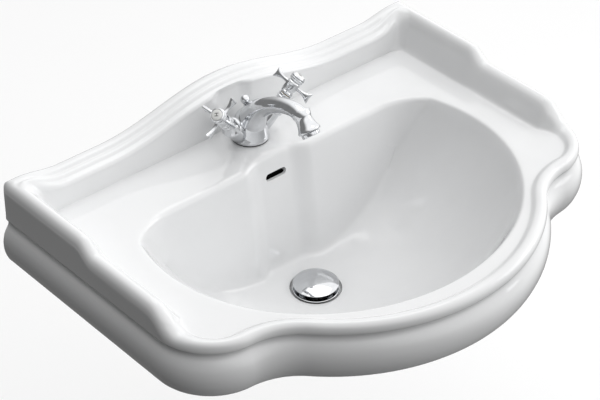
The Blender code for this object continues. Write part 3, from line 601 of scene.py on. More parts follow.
class Finish(Enum):
    """The finishes of this basin, named as the record's material slots are."""

    CHINA = Glaze()
    PORCELAIN = Glaze((0.86, 0.86, 0.84), (0.83, 0.83, 0.81), 0.10, 0.00008)
    CHROME = Plating()
    BRASS = Metal((0.66, 0.47, 0.20), (0.36, 0.25, 0.12))
    STEEL = Metal((0.56, 0.57, 0.59), (0.40, 0.41, 0.42), 0.30, (500.0, 40.0, 40.0), 0.5)
    COPPER = Metal((0.72, 0.36, 0.23), (0.38, 0.20, 0.14), 0.26)
    RUBBER = Moulded((0.022, 0.022, 0.024), (0.04, 0.04, 0.04), 0.62)
    NYLON = Moulded((0.78, 0.78, 0.75), (0.70, 0.70, 0.66), 0.42)
    ALUMINA = Moulded((0.84, 0.83, 0.79), (0.78, 0.77, 0.72), 0.20, 1400.0, 0.1)

    def material(self) -> bpy.types.Material:
        """This finish's material, made the first time that it is asked for."""
        name = self.name.lower() + "_finish"
        return bpy.data.materials.get(name) or self.value.make(name)

    @property
    def slot(self) -> str:
        """The record's material slot."""
        return self.name.lower()


class Body(Enum):
    """The frame's rigid bodies."""

    ROOT = "root"
    HOT = "hot_valve"
    COLD = "cold_valve"
    LIFT = "lift"
    LEVER = "lever"
    PLUG = "plug"


def dress(piece: bpy.types.Object, finish: Finish, body: Body, *nodes: str) -> bpy.types.Object:
    """Give a piece its finish, its body and the nodes that it stands for."""
    piece.data.materials.clear()
    piece.data.materials.append(finish.material())
    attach(piece, body.value)
    if nodes:
        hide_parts(*nodes)
    LOG.info("%s: %d faces on %s", piece.name, len(piece.data.polygons), body.value)
    return piece


# ---- the china -----------------------------------------------------------------------------
@dataclass
class Basin:
    """The white china basin: bowl, deck, moulded upstands, bow-fronted rim and hollow underside.

    Every closed line of its skin is a ring of matching stations, from the middle of the back round
    by +X, and the rings run up the bowl, over the rim, down outside and back underneath.
    """

    half: float = 0.365
    bow_centre: Point = (0.0, -0.244)
    bow_radius: float = 0.298
    ear_centre: Point = (0.273, -0.328)
    ear_radius: float = 0.092
    cove_radius: float = 0.092
    back_foot: float = 0.040
    side_foot: float = 0.051
    lip_foot: float = 0.032
    crest_side: float = 0.020
    crest_lip: float = 0.0170
    fascia: float = 0.0075
    back_top: float = 0.043
    back_hump: float = 0.032
    hump_half: float = 0.205
    corner_rise: float = 0.009
    side_heights: tuple[float, float, float] = (0.051, 0.034, 0.0065)
    side_steps: Point = (-0.177, -0.331)
    step_lengths: Point = (0.030, 0.050)
    skirt_bottom: float = -0.078
    panel_drop: float = -0.067
    panel_half: float = 0.215
    wall: float = 0.011
    under_deck: float = -0.013
    bowl_centre_y: float = -0.240
    bowl_half: Point = (0.2715, 0.249)
    bowl_depth: float = 0.180
    bowl_sweep: float = 3.3
    edge_soft: float = 0.020
    back_edge: float = -0.139
    back_run: float = 0.024
    floor_blend: float = 11.0
    wall_soft: float = 0.09
    plan_scale: float = 0.255
    plan_corner: float = 0.048
    flute_depth: float = 0.010
    flute_half: float = 0.060
    strip: Point = (0.024, 0.036)
    pad: Point = (0.003, 0.062)
    tap_y: float = -0.078
    tap_hole: float = 0.0175
    bolt_hole: float = 0.0085
    niche: Point = (0.0150, 0.0390)
    bead_fade: Point = (0.285, 0.338)
    drain_y: float = -0.217
    drain_hole: float = 0.0230
    boss: Point = (0.040, -0.208)
    slot: tuple[float, float, float] = (-0.031, 0.036, 0.011)
    stations: Mapping[str, int] = field(default_factory=lambda: {
        "back": 70, "corner": 8, "side": 34, "ear": 32, "cove": 16, "bow": 44})

    def hollow_centre(self, bow: float, cove: float, ear_centre: Array, ear: float) -> Array:
        """Centre of the cove: bow + cove from the bow's centre and ear + cove from the ear's."""
        a, b = np.array(self.bow_centre), ear_centre
        reach_a, reach_b = bow + cove, ear + cove
        span = float(np.linalg.norm(b - a))
        unit = (b - a) / span
        share = (reach_a ** 2 - reach_b ** 2 + span ** 2) / (2 * span)
        out = math.sqrt(reach_a ** 2 - share ** 2)
        return a + share * unit + out * np.array([unit[1], -unit[0]])

    def outline(self, back: float, side: float, front: float, corner: float,
                shift: float = 0.0) -> Array:
        """One closed plan line.

        It is straight along the back and sides, then an arc round the ear, a hollow arc, and the
        bow's arc, each tangent to the next.

        Args:
            back: Distance in from the wall.
            side: Distance in from the widest line of the sides.
            front: Distance in from the widest line of the ears and the bow.
            corner: Radius at the back corners.
            shift: How far the ear's centre is drawn outward, as the lip's inner lines are.

        Returns:
            The line's points.
        """
        count = self.stations
        x_side = self.half - side
        ear_centre = np.array(self.ear_centre) + shift * np.array([0.012, -0.022])
        ear = self.ear_radius - front - 0.022 * shift
        bow, cove = self.bow_radius - front, self.cove_radius + front
        bow_centre = np.array(self.bow_centre)
        hollow = self.hollow_centre(bow, cove, ear_centre, ear)
        first = math.acos(min((x_side - ear_centre[0]) / ear, 1.0))
        to_ear = math.atan2(*(hollow - ear_centre)[::-1])
        to_bow = math.atan2(*(hollow - bow_centre)[::-1])

        def arc(centre: Array, radius: float, start: float, end: float, stops: int) -> Array:
            turn = np.linspace(start, end, stops + 1)[:-1]
            return centre + radius * np.stack([np.cos(turn), np.sin(turn)], -1)

        run = x_side - corner
        xs = packed_stops(0.0, 1.0, count["back"], (0.0, 0.088), 0.06, 2.0) * run
        ys = packed_stops(-back - corner, ear_centre[1] + ear * math.sin(first), count["side"],
                          self.side_steps, 0.022, 3.0)
        half = np.vstack([
            np.stack([xs, np.full_like(xs, -back)], -1),
            arc(np.array([run, -back - corner]), corner, math.pi / 2, 0.0, count["corner"]),
            np.stack([np.full_like(ys, x_side), ys], -1),
            arc(ear_centre, ear, first, to_ear, count["ear"]),
            arc(hollow, cove, to_ear + math.pi, to_bow + math.pi, count["cove"]),
            arc(bow_centre, bow, to_bow, -math.pi / 2, count["bow"]),
            [[0.0, bow_centre[1] - bow]],
        ])
        return np.vstack([half, half[1:-1][::-1] * [-1.0, 1.0]])

    def back_share(self) -> Array:
        """1 at the stations along the back, 0 from the sides on, fading round the corners."""
        half = sum(self.stations.values()) + 1
        share = np.zeros(half)
        back, fade = self.stations["back"], self.stations["corner"] + 1
        share[:back] = 1.0
        share[back:back + fade] = 1.0 - ease(np.linspace(0.0, 1.0, fade), 0.0, 1.0)
        return np.concatenate([share, share[1:-1][::-1]])

    def crest_height(self, plan: Array, share: Array) -> Array:
        """Height of the upstands: a raised cosine behind the mixer, two smooth steps on the sides."""
        x, y = np.abs(plan[:, 0]), plan[:, 1]
        hump = self.back_hump * np.cos(np.clip(x / self.hump_half, 0, 1) * math.pi / 2) ** 2
        back = self.back_top + hump + self.corner_rise * ease(x, 0.27, 0.335)
        side = np.full_like(y, self.side_heights[0])
        for step, length, height in zip(self.side_steps, self.step_lengths, self.side_heights[1:]):
            side = mix(side, height, ease(-y, -step - length / 2, -step + length / 2))
        return mix(side, back, share)

    def hollow(self, x: Array, y: Array, grow: float = 0.0, rib: float = 0.0) -> Array:
        """Depth of the bowl: a dished ellipse cut by a steep fluted back wall.

        The dish is 1 - r^sweep of the elliptic radius r. The wall rises in a straight line of the
        distance in from an outline that rounds the corner between the ellipse and the back edge. Both
        are led in by a soft-plus where they meet the deck, and the smaller one counts, blended as
        (dish^-n + wall^-n)^(-1/n).
        """
        half_x, half_y = (half + grow for half in self.bowl_half)
        r = np.hypot(x / half_x, (y - self.bowl_centre_y) / half_y)
        dish = self.edge_soft * np.logaddexp(0.0, (1 - r ** self.bowl_sweep) / self.edge_soft)
        flute = self.flute_depth * (1 - ease(np.abs(x), 0.42 * self.flute_half, self.flute_half))
        edge = self.back_edge + flute + grow + rib * (1 - ease(np.abs(x), *self.strip))
        near = np.stack([(1 - r) * self.plan_scale, edge - y])
        inward = self.plan_corner - np.linalg.norm(np.maximum(self.plan_corner - near, 0.0), axis=0)
        wall = self.wall_soft * np.logaddexp(0.0, inward / self.back_run / self.wall_soft)
        blend = self.floor_blend
        return self.bowl_depth * (np.maximum(dish, 1e-9) ** -blend
                                  + np.maximum(wall, 1e-9) ** -blend) ** (-1 / blend)

    def deck(self, x: Array, y: Array) -> Array:
        """Height of the deck and bowl, with the low pad under the mixer."""
        height, radius = self.pad
        pad = height * (1 - ease(np.hypot(x, y - self.tap_y), 0.62 * radius, radius))
        return pad - self.hollow(x, y)

    def under(self, x: Array, y: Array) -> Array:
        """Height of the underside, thicker in the strip that holds the overflow's duct."""
        strip = 1 - ease(np.abs(x), *self.strip)
        strip = strip * ease(y, self.drain_y - 0.01, self.drain_y + 0.02)
        return self.under_deck - (1 + 0.06 * strip) * self.hollow(x, y, self.wall, 0.009)

    @staticmethod
    def lay(start: Array, end: Array, height: Any, count: int, bend: float = 0.05) -> Array:
        """Rows between two plan lines on the surface height(x, y), closer where it bends.

        The rows are even steps of the length along the surface plus bend times the angle turned.
        Each column's lengths are shifted by twice its number, so that one interpolation reads them
        all.
        """
        t = np.linspace(0.0, 1.0, 900)[None, :, None]
        plan = mix(start[:, None], end[:, None], t)
        fine = np.concatenate([plan, height(plan[..., 0], plan[..., 1])[..., None]], -1)
        moves = np.diff(fine, axis=1)
        steps = np.linalg.norm(moves, axis=2)
        tilt = np.arctan2(moves[..., 2], np.linalg.norm(moves[..., :2], axis=2))
        steps[:, 1:] += bend * np.abs(np.diff(tilt, axis=1))
        length = np.concatenate([np.zeros((len(start), 1)), np.cumsum(steps, 1)], 1)
        shift = 2.0 * np.arange(len(start))[:, None]
        marks = (length / length[:, -1:] + shift).ravel()
        stops = (np.linspace(0.0, 1.0, count)[None] + shift).ravel()
        rows = [np.interp(stops, marks, fine[..., k].ravel()) for k in range(3)]
        return np.stack(rows, -1).reshape(len(start), count, 3).swapaxes(0, 1)

    @staticmethod
    def level(plan: Array, z: Array | float) -> Array:
        """A plan line at a height."""
        return np.column_stack([plan, np.broadcast_to(z, len(plan))])

    def round_line(self, guide: Array, radius: float) -> Array:
        """A circle about the drain whose points lie in the directions of the guide's points."""
        turn = np.arctan2(guide[:, 1] - self.bowl_centre_y, guide[:, 0])
        return np.stack([radius * np.cos(turn), self.drain_y + radius * np.sin(turn)], -1)

    def rim_rows(self, foot: Array, share: Array) -> Array:
        """The upstand's moulding, its crest and the mouldings down the outside, as control rows.

        The back has three stepped beads whose front one stops at a niche behind the mixer.
        """
        # share of the way to the crest, share of its height, depth from the wall, drop at the back
        upstand = ((0.08, 0.025, 0.0397, 0.0420), (0.18, 0.11, 0.0390, 0.0330),
                   (0.29, 0.28, 0.0381, 0.0240), (0.40, 0.47, 0.0374, 0.0178),
                   (0.50, 0.64, 0.0372, 0.0140), (0.60, 0.78, 0.0350, 0.0105),
                   (0.70, 0.88, 0.0310, 0.0093), (0.79, 0.94, 0.0275, 0.0086),
                   (0.86, 0.972, 0.0252, 0.0064), (0.93, 0.993, 0.0220, 0.0048),
                   (1.00, 1.000, 0.0178, 0.0046))
        rows = [self.level(foot, self.deck(foot[:, 0], foot[:, 1]))]
        for way, rise, back, drop in upstand:
            plan = self.outline(back, mix(self.side_foot, self.crest_side, way),
                                mix(self.lip_foot, self.crest_lip, way), mix(0.016, 0.012, way),
                                mix(1.0, 0.5, way))
            x = np.abs(plan[:, 0])
            plain = ease(x, *self.bead_fade)
            plan[:, 1] += share * plain * (back - mix(self.back_foot, 0.018, way))
            recess = share * (1 - ease(x, *self.niche)) * (back > 0.034)
            plan[:, 1] = mix(plan[:, 1], -0.0318, recess * ease(way, 0.02, 0.42))
            top = self.crest_height(plan, share)
            back_z = mix(np.maximum(top - drop, rise * 0.02), top * rise, plain)
            rows.append(self.level(plan, mix(top * rise, back_z, share)))
        # share of the way from crest to fascia, depth from the wall, and the drops
        for way, back, side_drop, back_drop in ((0.22, 0.0145, 0.0004, 0.0016),
                                                (0.45, 0.0110, 0.0017, 0.0004),
                                                (0.66, 0.0070, 0.0040, 0.0001),
                                                (0.84, 0.0032, 0.0075, 0.0010),
                                                (0.96, 0.0008, 0.0125, 0.0034),
                                                (1.0, 0.0, 0.0180, 0.0080)):
            plan = self.outline(back, mix(self.crest_side, self.fascia, way),
                                mix(self.crest_lip, self.fascia, way), mix(0.012, 0.006, way),
                                mix(0.5, 0.0, way))
            top = self.crest_height(plan, share)
            side_drop = side_drop * np.clip((top + 0.0055) / 0.018, 0.0, 1.0)
            rows.append(self.level(plan, top - mix(side_drop, back_drop, share)))
        bands = [self.level(self.outline(0.0, inset, inset, 0.004), height)
                 for inset, height in ((0.0080, -0.0075), (0.0108, -0.0125), (0.0098, -0.0180),
                                       (0.0055, -0.0245), (0.0018, -0.0330), (0.0, -0.0450),
                                       (0.0012, -0.0580), (0.0048, -0.0690), (0.0085, -0.0755),
                                       (0.0115, -0.0780))]
        # the tall faces take one more row near their foot, so that the curve through them never folds
        rows.append(mix(rows[-1], bands[0], 0.5 + 0.32 * np.clip(top / 0.04, 0.0, 1.0)[:, None]))
        rows += bands
        return np.array(rows)

    def under_rows(self, share: Array, top: Array) -> Array:
        """Rows from the foot of the skirt up inside it to the underside of the deck."""
        outer = self.outline(0.0, 0.0095, 0.0095, 0.004)
        low = self.panel_low(share, outer)
        inner = self.outline(0.012, 0.0205, 0.0205, 0.004)
        rows = [self.level(self.outline(0.011, 0.0195, 0.0195, 0.004), self.skirt_bottom + low),
                self.level(inner, self.skirt_bottom + low + 0.002),
                self.level(inner, mix(0.35 * top, top - 0.020, share) - 0.010 * (1 - share)),
                self.level(self.outline(0.046, 0.055, 0.030, 0.010, 0.6), self.under_deck)]
        return np.array(rows)

    def panel_low(self, share: Array, plan: Array) -> Array:
        """How much lower the back panel reaches than the skirt at each station."""
        fade = 1 - ease(np.abs(plan[:, 0]), self.panel_half, self.panel_half + 0.05)
        return self.panel_drop * share * fade

    def skin(self) -> Patch:
        """The whole closed skin."""
        foot = self.outline(self.back_foot, self.side_foot, self.lip_foot, 0.016, 1.0)
        share = self.back_share()
        crest = self.outline(0.0175, self.crest_side, self.crest_lip, 0.010, 0.5)
        top = self.crest_height(crest, share)
        recess = np.array([self.level(self.round_line(foot, radius), -self.bowl_depth - drop)
                           for radius, drop in ((self.drain_hole, 0.0050), (0.0345, 0.0048),
                                                (0.0360, 0.0035))])
        bowl = self.lay(self.round_line(foot, 0.0370), foot, self.deck, 106)
        rim = smooth_rows(self.rim_rows(foot, share), 3)
        rim[..., 1] = np.minimum(rim[..., 1], 0.0)
        lowest = self.skirt_bottom + self.panel_low(share, rim[-1])
        rim[-1, :, 2] = lowest
        vault = self.outline(0.106, 0.078, 0.036, 0.030, 0.8)
        inside = straight_rows(np.concatenate([
            self.under_rows(share, top),
            [self.level(vault, self.under(vault[:, 0], vault[:, 1]))]]), 3)
        belly = self.lay(vault, self.round_line(vault, self.boss[0]), self.under, 24)
        seat = ((self.boss[0] - 0.0005, -0.0012), (0.0345, -0.0012), (0.0340, 0.0),
                (self.drain_hole, 0.0))
        bottom = np.array([self.level(self.round_line(vault, radius), self.boss[1] + step)
                           for radius, step in seat])
        return Patch(np.concatenate([recess, bowl, rim[1:], inside, belly[1:], bottom]), True)

    def duct(self) -> bpy.types.Object:
        """Tool for the flat overflow passage behind the back wall, down and into the drain."""
        lean = self.back_run / self.bowl_depth
        face = self.back_edge + self.flute_depth
        top, low = self.slot[0] + 0.011, -self.bowl_depth - 0.0045
        side = np.array([
            (face + lean * top + 0.0065, top), (face + lean * top + 0.0125, top),
            (face + lean * low + 0.0135, low - 0.0075), (self.drain_y + 0.019, low - 0.0105),
            (self.drain_y + 0.019, low), (face + lean * low + 0.0065, low)])
        ends = [np.column_stack([np.full(len(side), x), side]) for x in (-0.016, 0.016)]
        return mesh_object("duct_tool", [Patch(np.array(ends), flat=True)])

    def mouth(self) -> bpy.types.Object:
        """Tool for the overflow's mouth, a slot with round ends."""
        height, wide, tall = self.slot
        ring = circle(40, math.pi / 2)
        r = tall / 2
        x = ring[:, 0] * r + np.sign(np.round(ring[:, 0], 6)) * (wide / 2 - r)
        z = height + ring[:, 1] * r
        rows = [np.column_stack([x, np.full(40, y), z]) for y in (-0.152, -0.1215)]
        return mesh_object("mouth_tool", [Patch(np.array(rows))])

    def build(self) -> None:
        """Make the china and cut its holes."""
        china = mesh_object("china_basin", [self.skin()], 42.0)
        round_hole = mesh_object("tap_hole_tool", [rod(self.tap_hole, -0.03, 0.02).moved(
            Matrix.Translation((0, self.tap_y, 0)))])
        tools = [round_hole, self.mouth(), self.duct()]
        for side in (-1, 1):
            bore = rod(self.bolt_hole, -0.01, 0.03).moved(WallFixings().place(side))
            tools.append(mesh_object(f"bolt_hole_tool_{side}", [bore]))
        carve(china, tools, Join.CUT, 42.0)
        dress(china, Finish.CHINA, Body.ROOT, "basin")


# ---- the mixer -----------------------------------------------------------------------------
@dataclass
class Mixer:
    """The casting on the deck with its curved spout, its nozzle and its base."""

    foot_y: float = -0.078
    foot_z: float = 0.0048
    stud_y: float = -0.0912
    outlet: Vector = field(default_factory=lambda: Vector((0.0, -0.1868, 0.0945)))
    outlet_axis: Vector = field(default_factory=lambda: Vector((0.0, -0.66, -0.75)).normalized())
    spout: tuple[tuple[float, float, float], ...] = (
        (-0.0790, 0.0120, 0.0205), (-0.0805, 0.0240, 0.0205), (-0.0850, 0.0380, 0.0195),
        (-0.0930, 0.0520, 0.0168), (-0.1050, 0.0650, 0.0140), (-0.1220, 0.0775, 0.0122),
        (-0.1450, 0.0890, 0.0111), (-0.1680, 0.0950, 0.0108), (-0.1868, 0.0945, 0.0113))
    ridge: float = 0.055

    def section(self, count: int, strength: Array) -> Array:
        """Round sections with a soft ridge along both sides: r = 1 + k e^-((a - side)/w)^2."""
        angles = np.linspace(0.0, 2 * math.pi, count, endpoint=False)
        near = np.minimum(np.abs(np.sin(angles / 2)), np.abs(np.cos(angles / 2)))
        reach = 1 + strength[:, None] * np.exp(-(near / 0.10) ** 2)[None]
        return np.stack([reach * np.cos(angles), reach * np.sin(angles)], -1)

    def casting(self) -> None:
        """The bell-shaped body, the spout that rises out of it and the two valve arms."""
        z = self.foot_z
        bell = rounded([(1e-5, z), (0.0262, z), (0.0269, z + 0.0014), (0.0270, z + 0.0030),
                        (0.0264, z + 0.0056), (0.0260, z + 0.0090), (0.0246, z + 0.0150),
                        (0.0233, z + 0.0220), (0.0221, z + 0.0290), (0.0198, z + 0.0355),
                        (0.0150, z + 0.0405), (0.0080, z + 0.0428), (1e-5, z + 0.0434)],
                       0.0030, 6, False)
        place = Matrix.Translation((0, self.foot_y, 0))
        body = mesh_object("mixer_body", [lathe(bell, 96, False).moved(place)], 50.0)
        line = smooth_rows(np.array(self.spout), 10)
        path = np.column_stack([np.zeros(len(line)), line[:, :2]])
        strength = self.ridge * ease(np.arange(len(line)), 22, 40)
        sections = self.section(96, strength)
        swept = along(path, line[:, 2], sections, last=self.outlet_axis)
        neck = mesh_object("spout_tool", [swept], 60.0)
        arms = []
        for side in (-1, 1):
            profile = rounded([(1e-5, -0.0040), (0.0118, -0.0040), (0.0116, 0.0120), (0.0112, 0.0200),
                               (0.0112, 0.0222), (0.0122, 0.0232), (0.0131, 0.0244),
                               (0.0131, 0.0270), (0.0124, 0.0278), (0.0130, 0.0286),
                               (0.0130, 0.0296), (0.0097, 0.0296), (0.0097, 0.0240),
                               (1e-5, 0.0240)], 0.0007, 4, False)
            arm = lathe(profile, 72, False).moved(valve_place(side))
            arms.append(mesh_object(f"arm_tool_{side}", [arm]))
        carve(body, [neck] + arms, Join.UNION, 50.0)
        dress(body, Finish.CHROME, Body.ROOT, "tap_body")

    def tip(self) -> None:
        """The belled nozzle and the notched aerator ring below it."""
        place = frame_along(self.outlet, self.outlet_axis)
        profile = rounded([(0.0100, -0.0065), (0.0116, -0.0065), (0.0129, -0.0045), (0.0133, -0.0012),
                           (0.0128, 0.0022), (0.0117, 0.0046), (0.0114, 0.0068), (0.0118, 0.0100),
                           (0.0128, 0.0148), (0.0143, 0.0190), (0.0158, 0.0216), (0.0161, 0.0234),
                           (0.0157, 0.0248), (0.0140, 0.0252), (0.0108, 0.0252), (0.0100, 0.0200),
                           (0.0090, 0.0100)], 0.0016, 5)
        nozzle = mesh_object("nozzle", [lathe(profile, 96).moved(place)], 50.0)
        dress(nozzle, Finish.CHROME, Body.ROOT, "spout_nozzle")
        ring = lathe(rounded([(0.0094, 0.0255), (0.0126, 0.0255), (0.0132, 0.0270), (0.0128, 0.0306),
                              (0.0120, 0.0310), (0.0094, 0.0310)], 0.0005, 3), 192)
        points = ring.points.copy()
        angles = np.linspace(0.0, 2 * math.pi, 192, endpoint=False)
        notch = 1 - 0.045 * ease(np.cos(24 * angles), 0.1, 0.6)[None]
        outer = np.hypot(points[..., 0], points[..., 1]) > 0.0118
        points[..., :2] *= np.where(outer, notch, 1.0)[..., None]
        housing = mesh_object("aerator_ring", [Patch(points, True).moved(place)], 40.0)
        dress(housing, Finish.CHROME, Body.ROOT, "aerator_housing")
        screen = [rod(0.0090, 0.0232, 0.0296, 0.0003, 64)]
        for radius in (0.0018, 0.0036, 0.0054, 0.0072):
            screen.append(sleeve(radius, radius + 0.0005, 0.0294, 0.0302, 0.0001, 48))
        for turn in range(6):
            bar = plate(np.array([(-0.0085, -0.0002), (0.0085, -0.0002), (0.0085, 0.0002),
                                  (-0.0085, 0.0002)]), 0.0294, 0.0301, 0.00008)
            screen.append(bar.moved(Matrix.Rotation(turn * math.pi / 6, 4, "Z")))
        insert = mesh_object("aerator_screen", [patch.moved(place) for patch in screen])
        dress(insert, Finish.NYLON, Body.ROOT, "aerator_insert")

    def base(self) -> None:
        """The seal under the casting, the clamp washers and their stud and nut."""
        place = Matrix.Translation((0, self.foot_y, 0))
        at = Matrix.Translation((0, self.stud_y, 0))
        seal = mesh_object("foot_seal", [sleeve(0.0195, 0.0257, 0.0031, 0.0045).moved(place)])
        dress(seal, Finish.RUBBER, Body.ROOT, "base_seal")
        for name, finish, low, high in (("rubber_clamp_washer", Finish.RUBBER, -0.0158, -0.0133),
                                        ("steel_clamp_washer", Finish.STEEL, -0.0181, -0.0161)):
            washer = mesh_object("fine_" + name, [self.horseshoe(low, high).moved(place)])
            hole = mesh_object("stud_hole_tool", [rod(0.0041, -0.03, 0.0).moved(at)])
            carve(washer, [hole], Join.CUT)
            dress(washer, finish, Body.ROOT, name)
        stud = mesh_object("threaded_stud", [threaded(0.0037, -0.060, 0.0158, 0.00125).moved(at)])
        dress(stud, Finish.BRASS, Body.ROOT, "mounting_stud")
        clamp = mesh_object("fine_stud_nut", [nut(0.0072, 0.0040, -0.0258, -0.0186).moved(at)], 30.0)
        dress(clamp, Finish.BRASS, Body.ROOT, "stud_nut")

    @staticmethod
    def horseshoe(low: float, high: float) -> Patch:
        """A C-shaped washer: an arc outside and a flat-bottomed slot inside."""
        outer, end_y = 0.0245, 0.012
        end = math.asin(end_y / outer)
        turn = np.linspace(math.pi - end, 2 * math.pi + end, 60)
        slot = np.array([(0.0145, end_y), (0.0145, -0.0010), (0.0115, -0.0065)])
        outline = np.vstack([outer * np.stack([np.cos(turn), np.sin(turn)], -1), slot,
                             slot[::-1] * [-1.0, 1.0]])
        rows = [np.column_stack([outline, np.full(len(outline), z)]) for z in (low, high)]
        return Patch(np.array(rows), flat=True)

    def build(self) -> None:
        """Make every part of the mixer's middle."""
        self.casting()
        self.tip()
        self.base()


def threaded(radius: float, low: float, high: float, pitch: float, segments: int = 24) -> Patch:
    """A screw: a bar whose radius follows a triangle wave of height and angle."""
    rows = int((high - low) / pitch * 6)
    z = np.linspace(low, high, rows)
    angles = np.linspace(0.0, 2 * math.pi, segments, endpoint=False)
    phase = (z[:, None] / pitch - angles[None] / (2 * math.pi)) % 1.0
    reach = radius - 0.30 * pitch * (1 - 2 * np.abs(phase - 0.5))
    reach[[0, -1]] = 0.86 * radius
    points = np.stack([reach * np.cos(angles), reach * np.sin(angles),
                       np.broadcast_to(z[:, None], reach.shape)], -1)
    return Patch(points)


def valve_place(side: int) -> Matrix:
    """Frame of one valve: its Z runs from the mixer's flank up and out to the handle's cap."""
    root = Vector((side * 0.0209, -0.0809, 0.0179))
    tip = Vector((side * 0.0745, -0.0980, 0.0830))
    return frame_along(root, tip - root)


